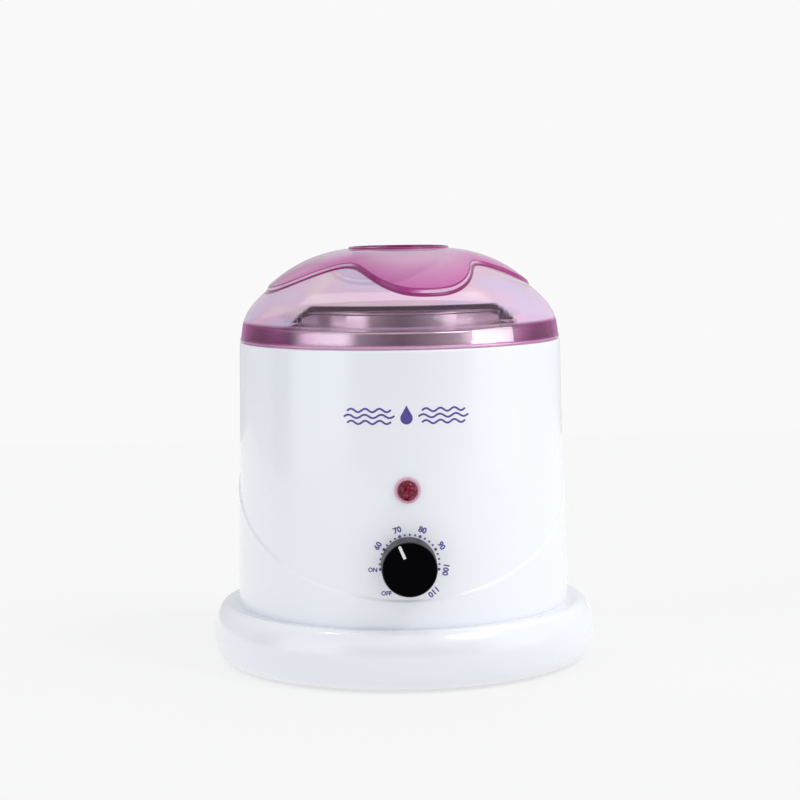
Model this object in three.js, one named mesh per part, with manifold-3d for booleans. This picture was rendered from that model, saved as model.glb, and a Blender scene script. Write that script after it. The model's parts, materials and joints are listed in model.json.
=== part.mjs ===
// Wax warmer pot: a round heater housing with a removable aluminium pot, its bail handle and a clear lid.
// Millimetres, +Z up, front towards -Y, origin on the floor under the middle of the housing.
import * as THREE from 'three';
import { mergeVertices } from 'three/addons/utils/BufferGeometryUtils.js';
import Module from 'manifold-3d';

const wasm = await Module();
wasm.setup();

const GAP = 0.3; // clearance that pieces in contact keep

// Heights below are above the lower edge of the base, which the feet lift off the floor.
const FOOT_STAND = 1.5;

// Base ring and bottom plate
const BASE_EDGE_R = 84.2;
const BASE_WIDE_R = 89;
const BASE_WIDE_LOW_Z = 10.5;
const BASE_WIDE_HIGH_Z = 15.5;
const BASE_CREST_R = 82.8;
const BASE_CREST_Z = 25.9;
const BASE_TOP_Z = 24.6;
const BASE_INSIDE_Z = 22.2;
const BASE_WALL = 2.4;
const SHOULDER_R = 79.3; // foot of the crest, beside the body
const NECK_R = 74.4;
const NECK_WALL = 1.4;
const NECK_TOP_Z = 31;
const PLATE_R = 82.3;
const PLATE_BOTTOM_Z = 0.6;
const PLATE_THICK = 2;
const FOOT_RING_R = 69;
const FOOT_R = 7;
const CASE_SCREW_RING_R = 69;
const CASE_SCREW_ANGLES = [20, 160, 200, 340];
const POST_R = 3.2;
const SCREW_BORE_R = 1.9;

// Body shell
const BODY_BOTTOM_Z = 25.4;
const BODY_TOP_Z = 147.7;
const BODY_BOTTOM_R = 76.5;
const BODY_TOP_R = 74.5;
const BODY_WALL = 2.5;
const DECK_THICK = 2.8;
const DECK_HOLE_R = 53.5;
const LEDGE = 0.7; // how far the lower part of the shell stands proud
const LEDGE_FRONT_Z = 37.9;
const LEDGE_SIDE_Z = 81.9;
const BOSS_TOP_Z = 58;
const LID_RIB_R = 70;

// Heating chamber and what is fixed round it
const CHAMBER_R = 51.1;
const CHAMBER_WALL = 1.2;
const CHAMBER_FLOOR_Z = 82;
const FLANGE_R = 65.5;
const GASKET_THICK = 1.4;
const FLANGE_Z = BODY_TOP_Z + 2 * GAP + GASKET_THICK;
const COLLAR_R = 68.5;
const COLLAR_HOLE_R = 50.3;
const COLLAR_TOP_Z = 155.3;
const COLLAR_SHEET = 0.9;
const CHAMBER_SCREW_RING_R = 60;
const CHAMBER_SCREW_ANGLES = [90, 210, 330];
const HEATER_R = 53;
const HEATER_LOW_Z = 86;
const HEATER_HEIGHT = 27;

// Pot and bail
const POT_R = 47.5;
const POT_WALL = 1.3;
const POT_RIM_R = 1;
const POT_RIM_Z = 162.2;
const EAR_PIVOT_Z = 158.6;
const EAR_REACH = 6.2;
const EAR_BOSS_R = 2.7;
const BAIL_WIRE_R = 1.1;
const BAIL_HALF_WIDTH = 40.4;
const BAIL_REST_Z = POT_RIM_Z + POT_RIM_R + GAP + BAIL_WIRE_R;
const RIVET_SPREAD = 6;
const RIVET_BORE_R = 1.4;

// Lid
const LID_R = 73.9;
const LID_WALL = 2;
const LID_SKIRT_TOP_R = 72.9;
const LID_SKIRT_TOP_Z = 156.1;
const DOME_R = 72.6;
const DOME_HEIGHT = 33.9;
const DOME_POWER = 0.65;
const LID_HOLE_R = 21.8;
const GRIP_VALLEY_R = 42;
const GRIP_TIP_R = 62;
const GRIP_SHARPNESS = 2.8; // higher narrows the valleys between the lobes
const GRIP_STEP = 1.7;
const GRIP_FLANK = 1.2;
const GRIP_BULGE = 1.3; // how far the middle of the grip rises above its edges
const GRIP_TURN = 10.5; // degrees from the front to the middle of the first lobe
const LIP_WIDTH = 1.6; // rounded lip round the hole
const LIP_HEIGHT = 0.9;

// Controls on the front
const KNOB_Z = 54;
const KNOB_BACK_R = 12.3;
const KNOB_FRONT_R = 12.1;
const KNOB_REACH = 13.8;
const KNOB_HOLLOW_R = 9.8;
const POINTER_ANGLE = 113; // degrees, counter-clockwise from the right
const SHAFT_R = 3;
const BUSHING_R = 4.6;
const LAMP_Z = 86.6;
const LAMP_R = 4.5;
const LAMP_FLANGE_R = 5.7;

// Cord inlet at the back of the base
const GLAND_Z = 11;
const GLAND_R = 4.9;
const GLAND_BORE_R = 3.4;
const GLAND_FLANGE_R = 7.4;
const GLAND_SEAT_Y = 88.2; // flat spot of the base that the gland sits on

const whiteGloss = { color: 0xf3f4f8, roughness: 0.18, metalness: 0 };
const brushedAluminium = { color: 0xc9cacd, roughness: 0.32, metalness: 1 };
const zincSteel = { color: 0xb4b7bb, roughness: 0.35, metalness: 1 };
const darkWire = { color: 0x6d6a6e, roughness: 0.3, metalness: 1 };
const blackPlastic = { color: 0x0b0b0e, roughness: 0.35, metalness: 0 };
const blackRubber = { color: 0x17171a, roughness: 0.8, metalness: 0 };
const greyMica = { color: 0x8c8373, roughness: 0.55, metalness: 0.2 };
const fibreWool = { color: 0xd8d2c4, roughness: 0.95, metalness: 0 };
const ceramicWhite = { color: 0xe9e6de, roughness: 0.5, metalness: 0 };
const pinkClear = { color: 0xe0b4d6, roughness: 0.08, metalness: 0, transparent: true, opacity: 0.45 };
const redClear = { color: 0x9c0518, roughness: 0.1, metalness: 0 };
const lampGlass = { color: 0xe8e2da, roughness: 0.1, metalness: 0 };

const model = new THREE.Group();
const appliance = new THREE.Group();
appliance.position.z = FOOT_STAND;
model.add(appliance);

// ---------- helpers ----------

function addPart(name, geometry, finish, x = 0, y = 0, z = 0) {
  const mesh = new THREE.Mesh(geometry, new THREE.MeshStandardMaterial(finish));
  mesh.name = name;
  mesh.position.set(x, y, z);
  appliance.add(mesh);
  return mesh;
}

const radians = THREE.MathUtils.degToRad;

function polar(radius, degrees) {
  return [radius * Math.cos(radians(degrees)), radius * Math.sin(radians(degrees))];
}

function arc(r, z, radius, from, to, steps) {
  return Array.from({ length: steps + 1 }, (_, i) => {
    const a = radians(from + ((to - from) * i) / steps);
    return [r + radius * Math.cos(a), z + radius * Math.sin(a)];
  });
}

// Turns an [r, z] outline, outer side going up, round +Z.
function revolve(outline, segments) {
  const points = outline.map(([r, z]) => new THREE.Vector2(r, z));
  const onAxis = outline[0][0] === 0 && outline.at(-1)[0] === 0;
  if (!onAxis) points.push(points[0].clone());
  return new THREE.LatheGeometry(points, segments).rotateX(Math.PI / 2);
}

// The same, round an axis along Y, with "up" of the outline pointing to -Y.
function revolveForward(outline, segments) {
  return revolve(outline, segments).rotateX(Math.PI / 2);
}

function rod(radius, z0, z1, segments = 16) {
  return new THREE.CylinderGeometry(radius, radius, z1 - z0, segments)
    .rotateX(Math.PI / 2)
    .translate(0, 0, (z0 + z1) / 2);
}

function rodAlongY(radius, y0, y1, segments = 16) {
  return new THREE.CylinderGeometry(radius, radius, y1 - y0, segments).translate(0, (y0 + y1) / 2, 0);
}

function rodAlongX(radius, x0, x1, segments = 16) {
  return new THREE.CylinderGeometry(radius, radius, Math.abs(x1 - x0), segments)
    .rotateZ(Math.PI / 2)
    .translate((x0 + x1) / 2, 0, 0);
}

function block(x0, x1, y0, y1, z0, z1) {
  return new THREE.BoxGeometry(x1 - x0, y1 - y0, z1 - z0)
    .translate((x0 + x1) / 2, (y0 + y1) / 2, (z0 + z1) / 2);
}

function solid(geometry) {
  const bare = geometry.clone();
  bare.deleteAttribute('normal');
  bare.deleteAttribute('uv');
  const merged = mergeVertices(bare, 1e-4);
  return new wasm.Manifold(new wasm.Mesh({
    numProp: 3,
    vertProperties: Float32Array.from(merged.attributes.position.array),
    triVerts: Uint32Array.from(merged.index.array),
  }));
}

function geometryOf(manifold) {
  const mesh = manifold.getMesh();
  const geometry = new THREE.BufferGeometry();
  geometry.setAttribute('position', new THREE.BufferAttribute(mesh.vertProperties, 3));
  geometry.setIndex(new THREE.BufferAttribute(mesh.triVerts, 1));
  return geometry;
}

function cut(geometry, ...tools) {
  return geometryOf(tools.reduce((body, tool) => body.subtract(solid(tool)), solid(geometry)));
}

function join(geometry, ...more) {
  return geometryOf(more.reduce((body, piece) => body.add(solid(piece)), solid(geometry)));
}

function tube(points, radius, sides, steps) {
  const path = new THREE.CatmullRomCurve3(points.map((p) => new THREE.Vector3(...p)), false, 'centripetal');
  const section = new THREE.Shape();
  for (let i = 0; i < sides; i += 1) {
    const a = (2 * Math.PI * i) / sides;
    const corner = [radius * Math.cos(a), radius * Math.sin(a)];
    if (i === 0) section.moveTo(...corner);
    else section.lineTo(...corner);
  }
  return new THREE.ExtrudeGeometry(section, { steps, extrudePath: path, bevelEnabled: false });
}

// A part of a ring between two angles, standing from z0 to z1.
function ringSector(inner, outer, from, to, z0, z1, segments) {
  const shape = new THREE.Shape();
  shape.absarc(0, 0, outer, radians(from), radians(to), false);
  shape.absarc(0, 0, inner, radians(to), radians(from), true);
  const options = { depth: z1 - z0, bevelEnabled: false, curveSegments: segments };
  return new THREE.ExtrudeGeometry(shape, options).translate(0, 0, z0);
}

// ---------- base ----------

function baseRing() {
  const plateSeatR = PLATE_R + 0.4;
  const outline = [
    [plateSeatR, 0],
    [BASE_EDGE_R, 0],
    [BASE_WIDE_R - 1, 4.4],
    [BASE_WIDE_R, BASE_WIDE_LOW_Z],
    [BASE_WIDE_R, BASE_WIDE_HIGH_Z],
    [BASE_WIDE_R - 1.2, 20.4],
    [BASE_CREST_R + 2.6, 24.2],
    [BASE_CREST_R, BASE_CREST_Z],
    [SHOULDER_R, BASE_TOP_Z],
    [NECK_R, BASE_TOP_Z],
    [NECK_R, NECK_TOP_Z],
    [NECK_R - NECK_WALL, NECK_TOP_Z],
    [NECK_R - NECK_WALL, BASE_INSIDE_Z],
    [SHOULDER_R, BASE_INSIDE_Z],
    [BASE_CREST_R - 0.6, BASE_CREST_Z - 2.7],
    [BASE_CREST_R + 1.4, 21.4],
    [BASE_WIDE_R - BASE_WALL, BASE_WIDE_HIGH_Z - 0.5],
    [BASE_WIDE_R - BASE_WALL, BASE_WIDE_LOW_Z],
    [plateSeatR, 3.2],
  ];
  const spotFace = rodAlongY(8, GLAND_SEAT_Y, 95, 16).translate(0, 0, GLAND_Z);
  const cordHole = rodAlongY(GLAND_R + GAP, 80, 95, 16).translate(0, 0, GLAND_Z);
  return cut(revolve(outline, 56), spotFace, cordHole);
}

function bottomPlate() {
  const top = PLATE_BOTTOM_Z + PLATE_THICK;
  let plate = solid(rod(PLATE_R, PLATE_BOTTOM_Z, top, 48));
  for (const angle of CASE_SCREW_ANGLES) {
    const [x, y] = polar(CASE_SCREW_RING_R, angle);
    plate = plate.add(solid(rod(POST_R, top - 0.5, BODY_BOTTOM_Z + 8.2, 12).translate(x, y, 0)));
    plate = plate.subtract(solid(rod(SCREW_BORE_R, 0, 40, 8).translate(x, y, 0)));
    plate = plate.subtract(solid(rod(3.1, 0, 1.8, 10).translate(x, y, 0)));
  }
  for (let i = 0; i < 4; i += 1) {
    const [x, y] = polar(FOOT_RING_R, 45 + 90 * i);
    plate = plate.subtract(solid(rod(2.4, 0, 4, 8).translate(x, y, 0)));
  }
  const ventCount = 12;
  for (let i = 0; i < ventCount; i += 1) {
    const vent = block(30, 50, -2, 2, 0, 4).rotateZ((2 * Math.PI * i) / ventCount);
    plate = plate.subtract(solid(vent));
  }
  return geometryOf(plate);
}

function rubberFoot() {
  return revolve([
    [0, -FOOT_STAND],
    [FOOT_R - 0.6, -FOOT_STAND],
    [FOOT_R, -FOOT_STAND + 0.6],
    [FOOT_R, PLATE_BOTTOM_Z - GAP],
    [1.9, PLATE_BOTTOM_Z - GAP],
    [1.9, PLATE_BOTTOM_Z + PLATE_THICK + GAP],
    [3.2, PLATE_BOTTOM_Z + PLATE_THICK + GAP],
    [2.2, PLATE_BOTTOM_Z + PLATE_THICK + 2],
    [0, PLATE_BOTTOM_Z + PLATE_THICK + 2],
  ], 12);
}

function caseScrew() {
  return revolve([
    [0, 0.2], [2.7, 0.2], [2.7, 1.2], [1.5, 1.5], [1.5, 46], [0, 46],
  ], 8);
}

function buildBase() {
  addPart('base_ring', baseRing(), whiteGloss);
  addPart('bottom_plate', bottomPlate(), blackPlastic);
  for (let i = 0; i < 4; i += 1) {
    addPart(`rubber_foot_${i + 1}`, rubberFoot(), blackRubber, ...polar(FOOT_RING_R, 45 + 90 * i));
  }
  CASE_SCREW_ANGLES.forEach((angle, i) => {
    addPart(`case_screw_${i + 1}`, caseScrew(), zincSteel, ...polar(CASE_SCREW_RING_R, angle));
  });
}

// ---------- body shell ----------

function bodyShell() {
  const inside = [
    [0, BODY_BOTTOM_Z - 1],
    [NECK_R + 0.4, BODY_BOTTOM_Z - 1],
    [NECK_R + 0.4, NECK_TOP_Z + 1.4],
    [BODY_BOTTOM_R - BODY_WALL - 0.2, NECK_TOP_Z + 3],
    [BODY_TOP_R - BODY_WALL, BODY_TOP_Z - DECK_THICK],
    [0, BODY_TOP_Z - DECK_THICK],
  ];
  const upper = [
    [0, BODY_BOTTOM_Z],
    [BODY_BOTTOM_R, BODY_BOTTOM_Z],
    ...arc(BODY_TOP_R - 1.2, BODY_TOP_Z - 1.2, 1.2, 0, 90, 2),
    [LID_RIB_R + 0.6, BODY_TOP_Z],
    [LID_RIB_R + 0.6, BODY_TOP_Z + 1.4],
    [LID_RIB_R - 0.6, BODY_TOP_Z + 1.4],
    [LID_RIB_R - 0.6, BODY_TOP_Z],
    [0, BODY_TOP_Z],
  ];
  const proud = [
    [0, BODY_BOTTOM_Z],
    [BODY_BOTTOM_R + LEDGE, BODY_BOTTOM_Z],
    [BODY_TOP_R + LEDGE, BODY_TOP_Z],
    [0, BODY_TOP_Z],
  ];
  const tilt = Math.atan((LEDGE_SIDE_Z - LEDGE_FRONT_Z) / BODY_BOTTOM_R);
  const belowLedge = block(-120, 120, -160, 160, -200, 0).rotateX(tilt).translate(0, 0, LEDGE_SIDE_Z);
  let shell = solid(revolve(proud, 56)).intersect(solid(belowLedge));
  shell = shell.add(solid(revolve(upper, 56))).subtract(solid(revolve(inside, 56)));
  for (const angle of CASE_SCREW_ANGLES) {
    const bossBottom = NECK_TOP_Z + 3;
    const boss = rod(3.5, bossBottom, BOSS_TOP_Z, 12).translate(CASE_SCREW_RING_R, 0, 0);
    const rib = block(CASE_SCREW_RING_R, BODY_TOP_R, -3.5, 3.5, bossBottom, BOSS_TOP_Z);
    const pilot = rod(SCREW_BORE_R, bossBottom - 1, 48, 8).translate(CASE_SCREW_RING_R, 0, 0);
    const bossSolid = solid(boss).add(solid(rib)).subtract(solid(pilot));
    shell = shell.add(bossSolid.rotate([0, 0, angle]));
  }
  const bushingHole = rodAlongY(BUSHING_R + GAP, -80, -70, 16).translate(0, 0, KNOB_Z);
  const lampHole = rodAlongY(LAMP_R - 0.2, -80, -70, 16).translate(0, 0, LAMP_Z);
  const chamberHole = rod(DECK_HOLE_R, BODY_TOP_Z - 6, BODY_TOP_Z + 2, 48);
  for (const hole of [bushingHole, lampHole, chamberHole, ...chamberScrewHoles(-10, 10)]) {
    shell = shell.subtract(solid(hole));
  }
  return geometryOf(shell);
}

// ---------- heating chamber ----------

function chamberScrewHoles(below, above) {
  return CHAMBER_SCREW_ANGLES.map((angle) => {
    const [x, y] = polar(CHAMBER_SCREW_RING_R, angle);
    return rod(SCREW_BORE_R, FLANGE_Z + below, FLANGE_Z + above, 8).translate(x, y, 0);
  });
}

function heatingChamber() {
  const inner = CHAMBER_R - CHAMBER_WALL;
  const floorBottom = CHAMBER_FLOOR_Z - CHAMBER_WALL;
  const cup = revolve([
    [0, floorBottom],
    ...arc(CHAMBER_R - 4, floorBottom + 4, 4, -90, 0, 2),
    [CHAMBER_R, FLANGE_Z],
    [FLANGE_R, FLANGE_Z],
    [FLANGE_R, FLANGE_Z + CHAMBER_WALL],
    [inner, FLANGE_Z + CHAMBER_WALL],
    ...arc(inner - 3, CHAMBER_FLOOR_Z + 3, 3, 0, -90, 2),
    [0, CHAMBER_FLOOR_Z],
  ], 40);
  return cut(cup, ...chamberScrewHoles(-1, 3));
}

function chamberGasket() {
  const bottom = BODY_TOP_Z + GAP;
  const ring = revolve([
    [54.5, bottom], [65, bottom], [65, bottom + GASKET_THICK], [54.5, bottom + GASKET_THICK],
  ], 32);
  return cut(ring, ...chamberScrewHoles(-4, 3));
}

function chamberCollar() {
  const bottom = BODY_TOP_Z + GAP;
  const lip = FLANGE_Z + CHAMBER_WALL + GAP;
  const under = COLLAR_TOP_Z - COLLAR_SHEET;
  return revolve([
    [COLLAR_R - COLLAR_SHEET, bottom],
    [COLLAR_R, bottom],
    ...arc(COLLAR_R - 1.6, COLLAR_TOP_Z - 1.6, 1.6, 0, 90, 2),
    ...arc(COLLAR_HOLE_R + 1, COLLAR_TOP_Z - 1, 1, 90, 180, 1),
    [COLLAR_HOLE_R, lip],
    [COLLAR_HOLE_R + COLLAR_SHEET, lip],
    [COLLAR_HOLE_R + COLLAR_SHEET, under],
    [COLLAR_R - COLLAR_SHEET, under - 0.7],
  ], 48);
}

function chamberScrew() {
  const seat = FLANGE_Z + CHAMBER_WALL + GAP;
  return revolve([
    [0, seat - 9], [1.4, seat - 9], [1.4, seat], [2.8, seat], [2.4, seat + 1.5], [0, seat + 1.7],
  ], 8);
}

function heaterBand() {
  const inner = CHAMBER_R + GAP;
  const top = HEATER_LOW_Z + HEATER_HEIGHT;
  const gapAngle = 4;
  const band = ringSector(inner, HEATER_R, 90 + gapAngle, 450 - gapAngle, HEATER_LOW_Z, top, 28);
  const lugX = inner * Math.sin(radians(gapAngle));
  const lugs = [-1, 1].map((side) => {
    const [x0, x1] = side < 0 ? [-lugX - 1.4, -lugX] : [lugX, lugX + 1.4];
    return block(x0, x1, inner + 0.4, HEATER_R + 8, HEATER_LOW_Z + 6, top - 6);
  });
  const screwHole = rodAlongX(1.9, -10, 10, 8).translate(0, HEATER_R + 4.5, HEATER_LOW_Z + HEATER_HEIGHT / 2);
  return cut(join(band, ...lugs), screwHole);
}

function heaterClampScrew() {
  const profile = [
    [0, -8], [1.5, -8], [1.5, 5.4], [2.8, 5.4], [2.8, 7.4], [0, 7.4],
  ];
  return revolve(profile, 8).rotateY(Math.PI / 2);
}

function insulationSleeve() {
  return ringSector(HEATER_R + 1, 58, 125, 415, 84, 142, 26);
}

function thermalCutout() {
  const can = revolve([
    [0, -9], [6.5, -9], [8, -7.5], [8, -0.6], [0, -0.6],
  ], 12);
  const blades = [-1, 1].map((side) => block(-0.4, 0.4, side * 3 - 1.5, side * 3 + 1.5, -14, -8.5));
  return join(can, ...blades);
}

function bulbClip() {
  const outer = new THREE.Shape();
  outer.moveTo(-9, 0);
  outer.lineTo(-4.3, 0);
  outer.lineTo(-4.3, -6.4);
  outer.lineTo(4.3, -6.4);
  outer.lineTo(4.3, 0);
  outer.lineTo(9, 0);
  outer.lineTo(9, -0.8);
  outer.lineTo(5.1, -0.8);
  outer.lineTo(5.1, -7.2);
  outer.lineTo(-5.1, -7.2);
  outer.lineTo(-5.1, -0.8);
  outer.lineTo(-9, -0.8);
  outer.closePath();
  return new THREE.ExtrudeGeometry(outer, { depth: 12, bevelEnabled: false })
    .rotateX(Math.PI / 2)
    .rotateZ(Math.PI / 2);
}

function buildChamber() {
  const floorBottom = CHAMBER_FLOOR_Z - CHAMBER_WALL;
  const bandMiddle = HEATER_LOW_Z + HEATER_HEIGHT / 2;
  addPart('heating_chamber', heatingChamber(), brushedAluminium);
  addPart('chamber_gasket', chamberGasket(), blackRubber);
  addPart('chamber_collar', chamberCollar(), brushedAluminium);
  CHAMBER_SCREW_ANGLES.forEach((angle, i) => {
    addPart(`chamber_screw_${i + 1}`, chamberScrew(), zincSteel, ...polar(CHAMBER_SCREW_RING_R, angle));
  });
  addPart('heater_band', heaterBand(), greyMica);
  addPart('heater_clamp_screw', heaterClampScrew(), zincSteel, 0, HEATER_R + 4.5, bandMiddle);
  [-1, 1].forEach((side, i) => {
    const stud = revolve([
      [0, 0], [2.6, 0], [2.6, 1.6], [1.4, 1.6], [1.4, 5], [0, 5],
    ], 8).rotateX(-Math.PI / 2).translate(0, HEATER_R + 0.4, 0).rotateZ(radians(side * 18));
    addPart(`heater_terminal_${i + 1}`, stud, zincSteel, 0, 0, bandMiddle - 4);
  });
  addPart('insulation_sleeve', insulationSleeve(), fibreWool);
  addPart('thermal_cutout', thermalCutout(), blackPlastic, 22, 12, floorBottom);
  addPart('sensor_bulb', rodAlongX(3, -26, 26, 10), brushedAluminium, 0, -12, floorBottom - 3.4);
  addPart('sensor_bulb_clip', bulbClip(), zincSteel, -6, -12, floorBottom - GAP);
}

// ---------- thermostat, knob and lamp ----------

const FACE_R = BODY_BOTTOM_R - ((BODY_BOTTOM_R - BODY_TOP_R) * (KNOB_Z - BODY_BOTTOM_Z)) / (BODY_TOP_Z - BODY_BOTTOM_Z);

function thermostatBody() {
  const body = block(-17, 17, -69, -47, -15, 15);
  const bushing = rodAlongY(BUSHING_R, -FACE_R - 3.8, -68, 16);
  const bore = rodAlongY(SHAFT_R + 2 * GAP, -90, -57, 12);
  return cut(join(body, bushing), bore);
}

function thermostatNut() {
  const nut = new THREE.CylinderGeometry(8, 8, 2.6, 6).translate(0, -FACE_R - 2.1, 0);
  return cut(nut, rodAlongY(BUSHING_R + 2 * GAP, -90, -70, 16));
}

function dSection(radius) {
  const flat = radians(130);
  const shape = new THREE.Shape();
  shape.absarc(0, 0, radius, flat, 2 * Math.PI + Math.PI - flat, false);
  shape.closePath();
  return shape;
}

function dRod(radius, y0, y1) {
  return new THREE.ExtrudeGeometry(dSection(radius), { depth: y1 - y0, bevelEnabled: false, curveSegments: 12 })
    .rotateX(Math.PI / 2)
    .translate(0, y1, 0);
}

function knobBody() {
  const front = FACE_R + KNOB_REACH;
  const back = FACE_R + 0.6;
  const hollowEnd = FACE_R + 5.2;
  const shell = revolveForward([
    [0, hollowEnd],
    [KNOB_HOLLOW_R, hollowEnd],
    [KNOB_HOLLOW_R, back],
    [KNOB_BACK_R, back],
    ...arc(KNOB_FRONT_R - 1, front - 1, 1, 0, 90, 2),
    [0, front],
  ], 28);
  const slot = block(4.9, 11.6, -front - 1, -front + 0.9, -0.95, 0.95).rotateY(-radians(POINTER_ANGLE));
  return cut(shell, dRod(SHAFT_R + GAP, -front + 2, -80), slot);
}

function knobPointer() {
  const front = FACE_R + KNOB_REACH;
  return block(5.2, 11.3, -front + 0.1, -front + 0.6, -0.65, 0.65).rotateY(-radians(POINTER_ANGLE));
}

function indicatorLens() {
  const face = 75.5;
  return revolveForward([
    [0, face - 2],
    [2.9, face - 2],
    [2.9, face - 9],
    [LAMP_R - 0.6, face - 9],
    [LAMP_R - 0.6, face + GAP],
    [LAMP_FLANGE_R, face + GAP],
    [LAMP_FLANGE_R, face + 1.2],
    [LAMP_R, face + 1.5],
    [LAMP_R - 0.3, face + 2.6],
    [2.4, face + 3.8],
    [0, face + 4.2],
  ], 12);
}

function neonLamp() {
  return revolveForward([
    [0, 59.5], [0.9, 59.5], [0.9, 62], [2.4, 62.2], [2.4, 71], [0, 73],
  ], 8);
}

function buildControls() {
  addPart('thermostat_body', thermostatBody(), ceramicWhite, 0, 0, KNOB_Z);
  addPart('thermostat_nut', thermostatNut(), zincSteel, 0, 0, KNOB_Z);
  addPart('thermostat_shaft', dRod(SHAFT_R, -FACE_R - KNOB_REACH + 2.4, -58), zincSteel, 0, 0, KNOB_Z);
  addPart('knob', knobBody(), blackPlastic, 0, 0, KNOB_Z);
  addPart('knob_pointer', knobPointer(), whiteGloss, 0, 0, KNOB_Z);
  addPart('indicator_lens', indicatorLens(), redClear, 0, 0, LAMP_Z);
  const retainer = revolveForward([
    [LAMP_R - 0.2, 70.5], [LAMP_FLANGE_R + 1.6, 70.8], [LAMP_FLANGE_R + 1.6, 71.6], [LAMP_R - 0.2, 71.6],
  ], 12);
  addPart('lamp_retainer', retainer, zincSteel, 0, 0, LAMP_Z);
  addPart('neon_lamp', neonLamp(), lampGlass, 0, 0, LAMP_Z);
}

// ---------- wiring ----------

function terminalBlock() {
  const body = block(-15, 15, -8, 8, 0, 14);
  const bores = [-10, 0, 10].map((x) => rodAlongY(2, -9, 9, 6).translate(x, 0, 5));
  const screws = [-10, 0, 10].map((x) => rod(2, 8, 15, 6).translate(x, 0, 0));
  return cut(body, ...bores, ...screws);
}

const WIRE_R = 1;
const WIRES = {
  wire_live: [[-10, 46.4, 8], [-12, 52, 9], [-26, 50, 12], [-34, 20, 20], [-24, -20, 38], [-10, -40, 48],
    [-8, -46.4, 49]],
  wire_thermostat: [[8, -46.4, 60], [9, -42, 61], [18, -30, 62], [24, -10, 62], [24, 4, 62], [22.5, 9, 65.8]],
  wire_heater: [[22.5, 15, 65.8], [23, 20, 63], [26, 40, 64], [27, 57, 74], [23, 61, 88], [19.5, 60.5, 95.5]],
  wire_neutral: [[0, 46.4, 8], [-1, 54, 10], [-6, 62, 30], [-12, 62, 70], [-18, 61.5, 88], [-19.5, 60.5, 95.5]],
  wire_lamp: [[10, 46.4, 8], [12, 53, 10], [32, 50, 20], [56, 10, 40], [50, -36, 60], [24, -61, 78],
    [6, -64.5, 83], [1.2, -61, 84.4]],
};

function buildWiring() {
  addPart('terminal_block', terminalBlock(), ceramicWhite, 0, 38, PLATE_BOTTOM_Z + PLATE_THICK + GAP);
  for (const [name, points] of Object.entries(WIRES)) {
    addPart(name, tube(points, WIRE_R, 8, 13), blackRubber);
  }
  const capillary = [[-26.4, -12, 77.4], [-34, -12, 77], [-40, -24, 72], [-30, -40, 66], [-12, -42, 62],
    [-6, -46.4, 62]];
  addPart('capillary_tube', tube(capillary, 0.8, 8, 11), brushedAluminium);
  const gland = revolveForward([
    [GLAND_BORE_R, -GLAND_SEAT_Y - 1.6], [GLAND_FLANGE_R, -GLAND_SEAT_Y - 1.6], [GLAND_FLANGE_R, -GLAND_SEAT_Y - GAP],
    [GLAND_R, -GLAND_SEAT_Y - GAP], [GLAND_R, -77], [GLAND_BORE_R, -77],
  ], 16);
  addPart('cord_gland', gland, blackRubber, 0, 0, GLAND_Z);
  const nut = new THREE.CylinderGeometry(7.6, 7.6, 3, 6).translate(0, 80, 0);
  addPart('cord_gland_nut', cut(nut, rodAlongY(GLAND_R + 2 * GAP, 70, 90, 12)), blackPlastic, 0, 0, GLAND_Z);
}

// ---------- pot and bail ----------

function waxPot() {
  const bottom = CHAMBER_FLOOR_Z + GAP;
  const inner = POT_R - POT_WALL;
  const pot = revolve([
    [0, bottom],
    ...arc(POT_R - 4, bottom + 4, 4, -90, 0, 2),
    ...arc(POT_R + 0.5, POT_RIM_Z, POT_RIM_R, -120, 120, 4),
    [inner, POT_RIM_Z - 1],
    ...arc(inner - 3, bottom + POT_WALL + 3, 3, 0, -90, 2),
    [0, bottom + POT_WALL],
  ], 40);
  const rivetHoles = [-1, 1].map((side) => (
    rodAlongX(RIVET_BORE_R, -60, 60, 8).translate(0, side * RIVET_SPREAD, EAR_PIVOT_Z)
  ));
  return cut(pot, ...rivetHoles);
}

function potEar(side) {
  const face = POT_R + GAP;
  const plate = block(face, face + 0.9, -8.5, 8.5, EAR_PIVOT_Z - 2.4, EAR_PIVOT_Z + 2.4);
  const boss = rodAlongX(EAR_BOSS_R, face + 0.3, POT_R + EAR_REACH, 14).translate(0, 0, EAR_PIVOT_Z);
  const bore = rodAlongX(BAIL_WIRE_R + 0.5, face + 1.8, 60, 12).translate(0, 0, EAR_PIVOT_Z);
  const rivetHoles = [-1, 1].map((end) => (
    rodAlongX(RIVET_BORE_R, 40, 60, 8).translate(0, end * RIVET_SPREAD, EAR_PIVOT_Z)
  ));
  return cut(join(plate, boss), bore, ...rivetHoles).rotateZ(side < 0 ? Math.PI : 0);
}

function earRivet() {
  return revolve([
    [0, 44.4], [1.8, 44.8], [1.8, 45.2], [0.9, 45.2], [0.9, 49], [1.8, 49], [1.8, 49.4], [0, 49.8],
  ], 8).rotateY(Math.PI / 2);
}

// Right half of the bail, from the pivot to the middle; the left half mirrors it.
function bailWire() {
  const pivotX = POT_R + 3;
  const shoulderX = POT_R + EAR_REACH + 2.1;
  const frontY = -(POT_R + 0.5);
  const lean = (BAIL_REST_Z - EAR_PIVOT_Z) / -frontY;
  const at = (x, y) => new THREE.Vector3(x, y, EAR_PIVOT_Z - y * lean);
  const corners = [at(pivotX, 0), at(shoulderX, 0), at(BAIL_HALF_WIDTH, frontY), at(0, frontY)];
  const bends = [[corners[0]], fillet(corners[0], corners[1], corners[2], 2.2),
    fillet(corners[1], corners[2], corners[3], 5)];
  const half = bends.flat();
  const mirrored = half.map((p) => new THREE.Vector3(-p.x, p.y, p.z)).reverse();
  return sweep([...half, ...mirrored], BAIL_WIRE_R, 8);
}

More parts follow.
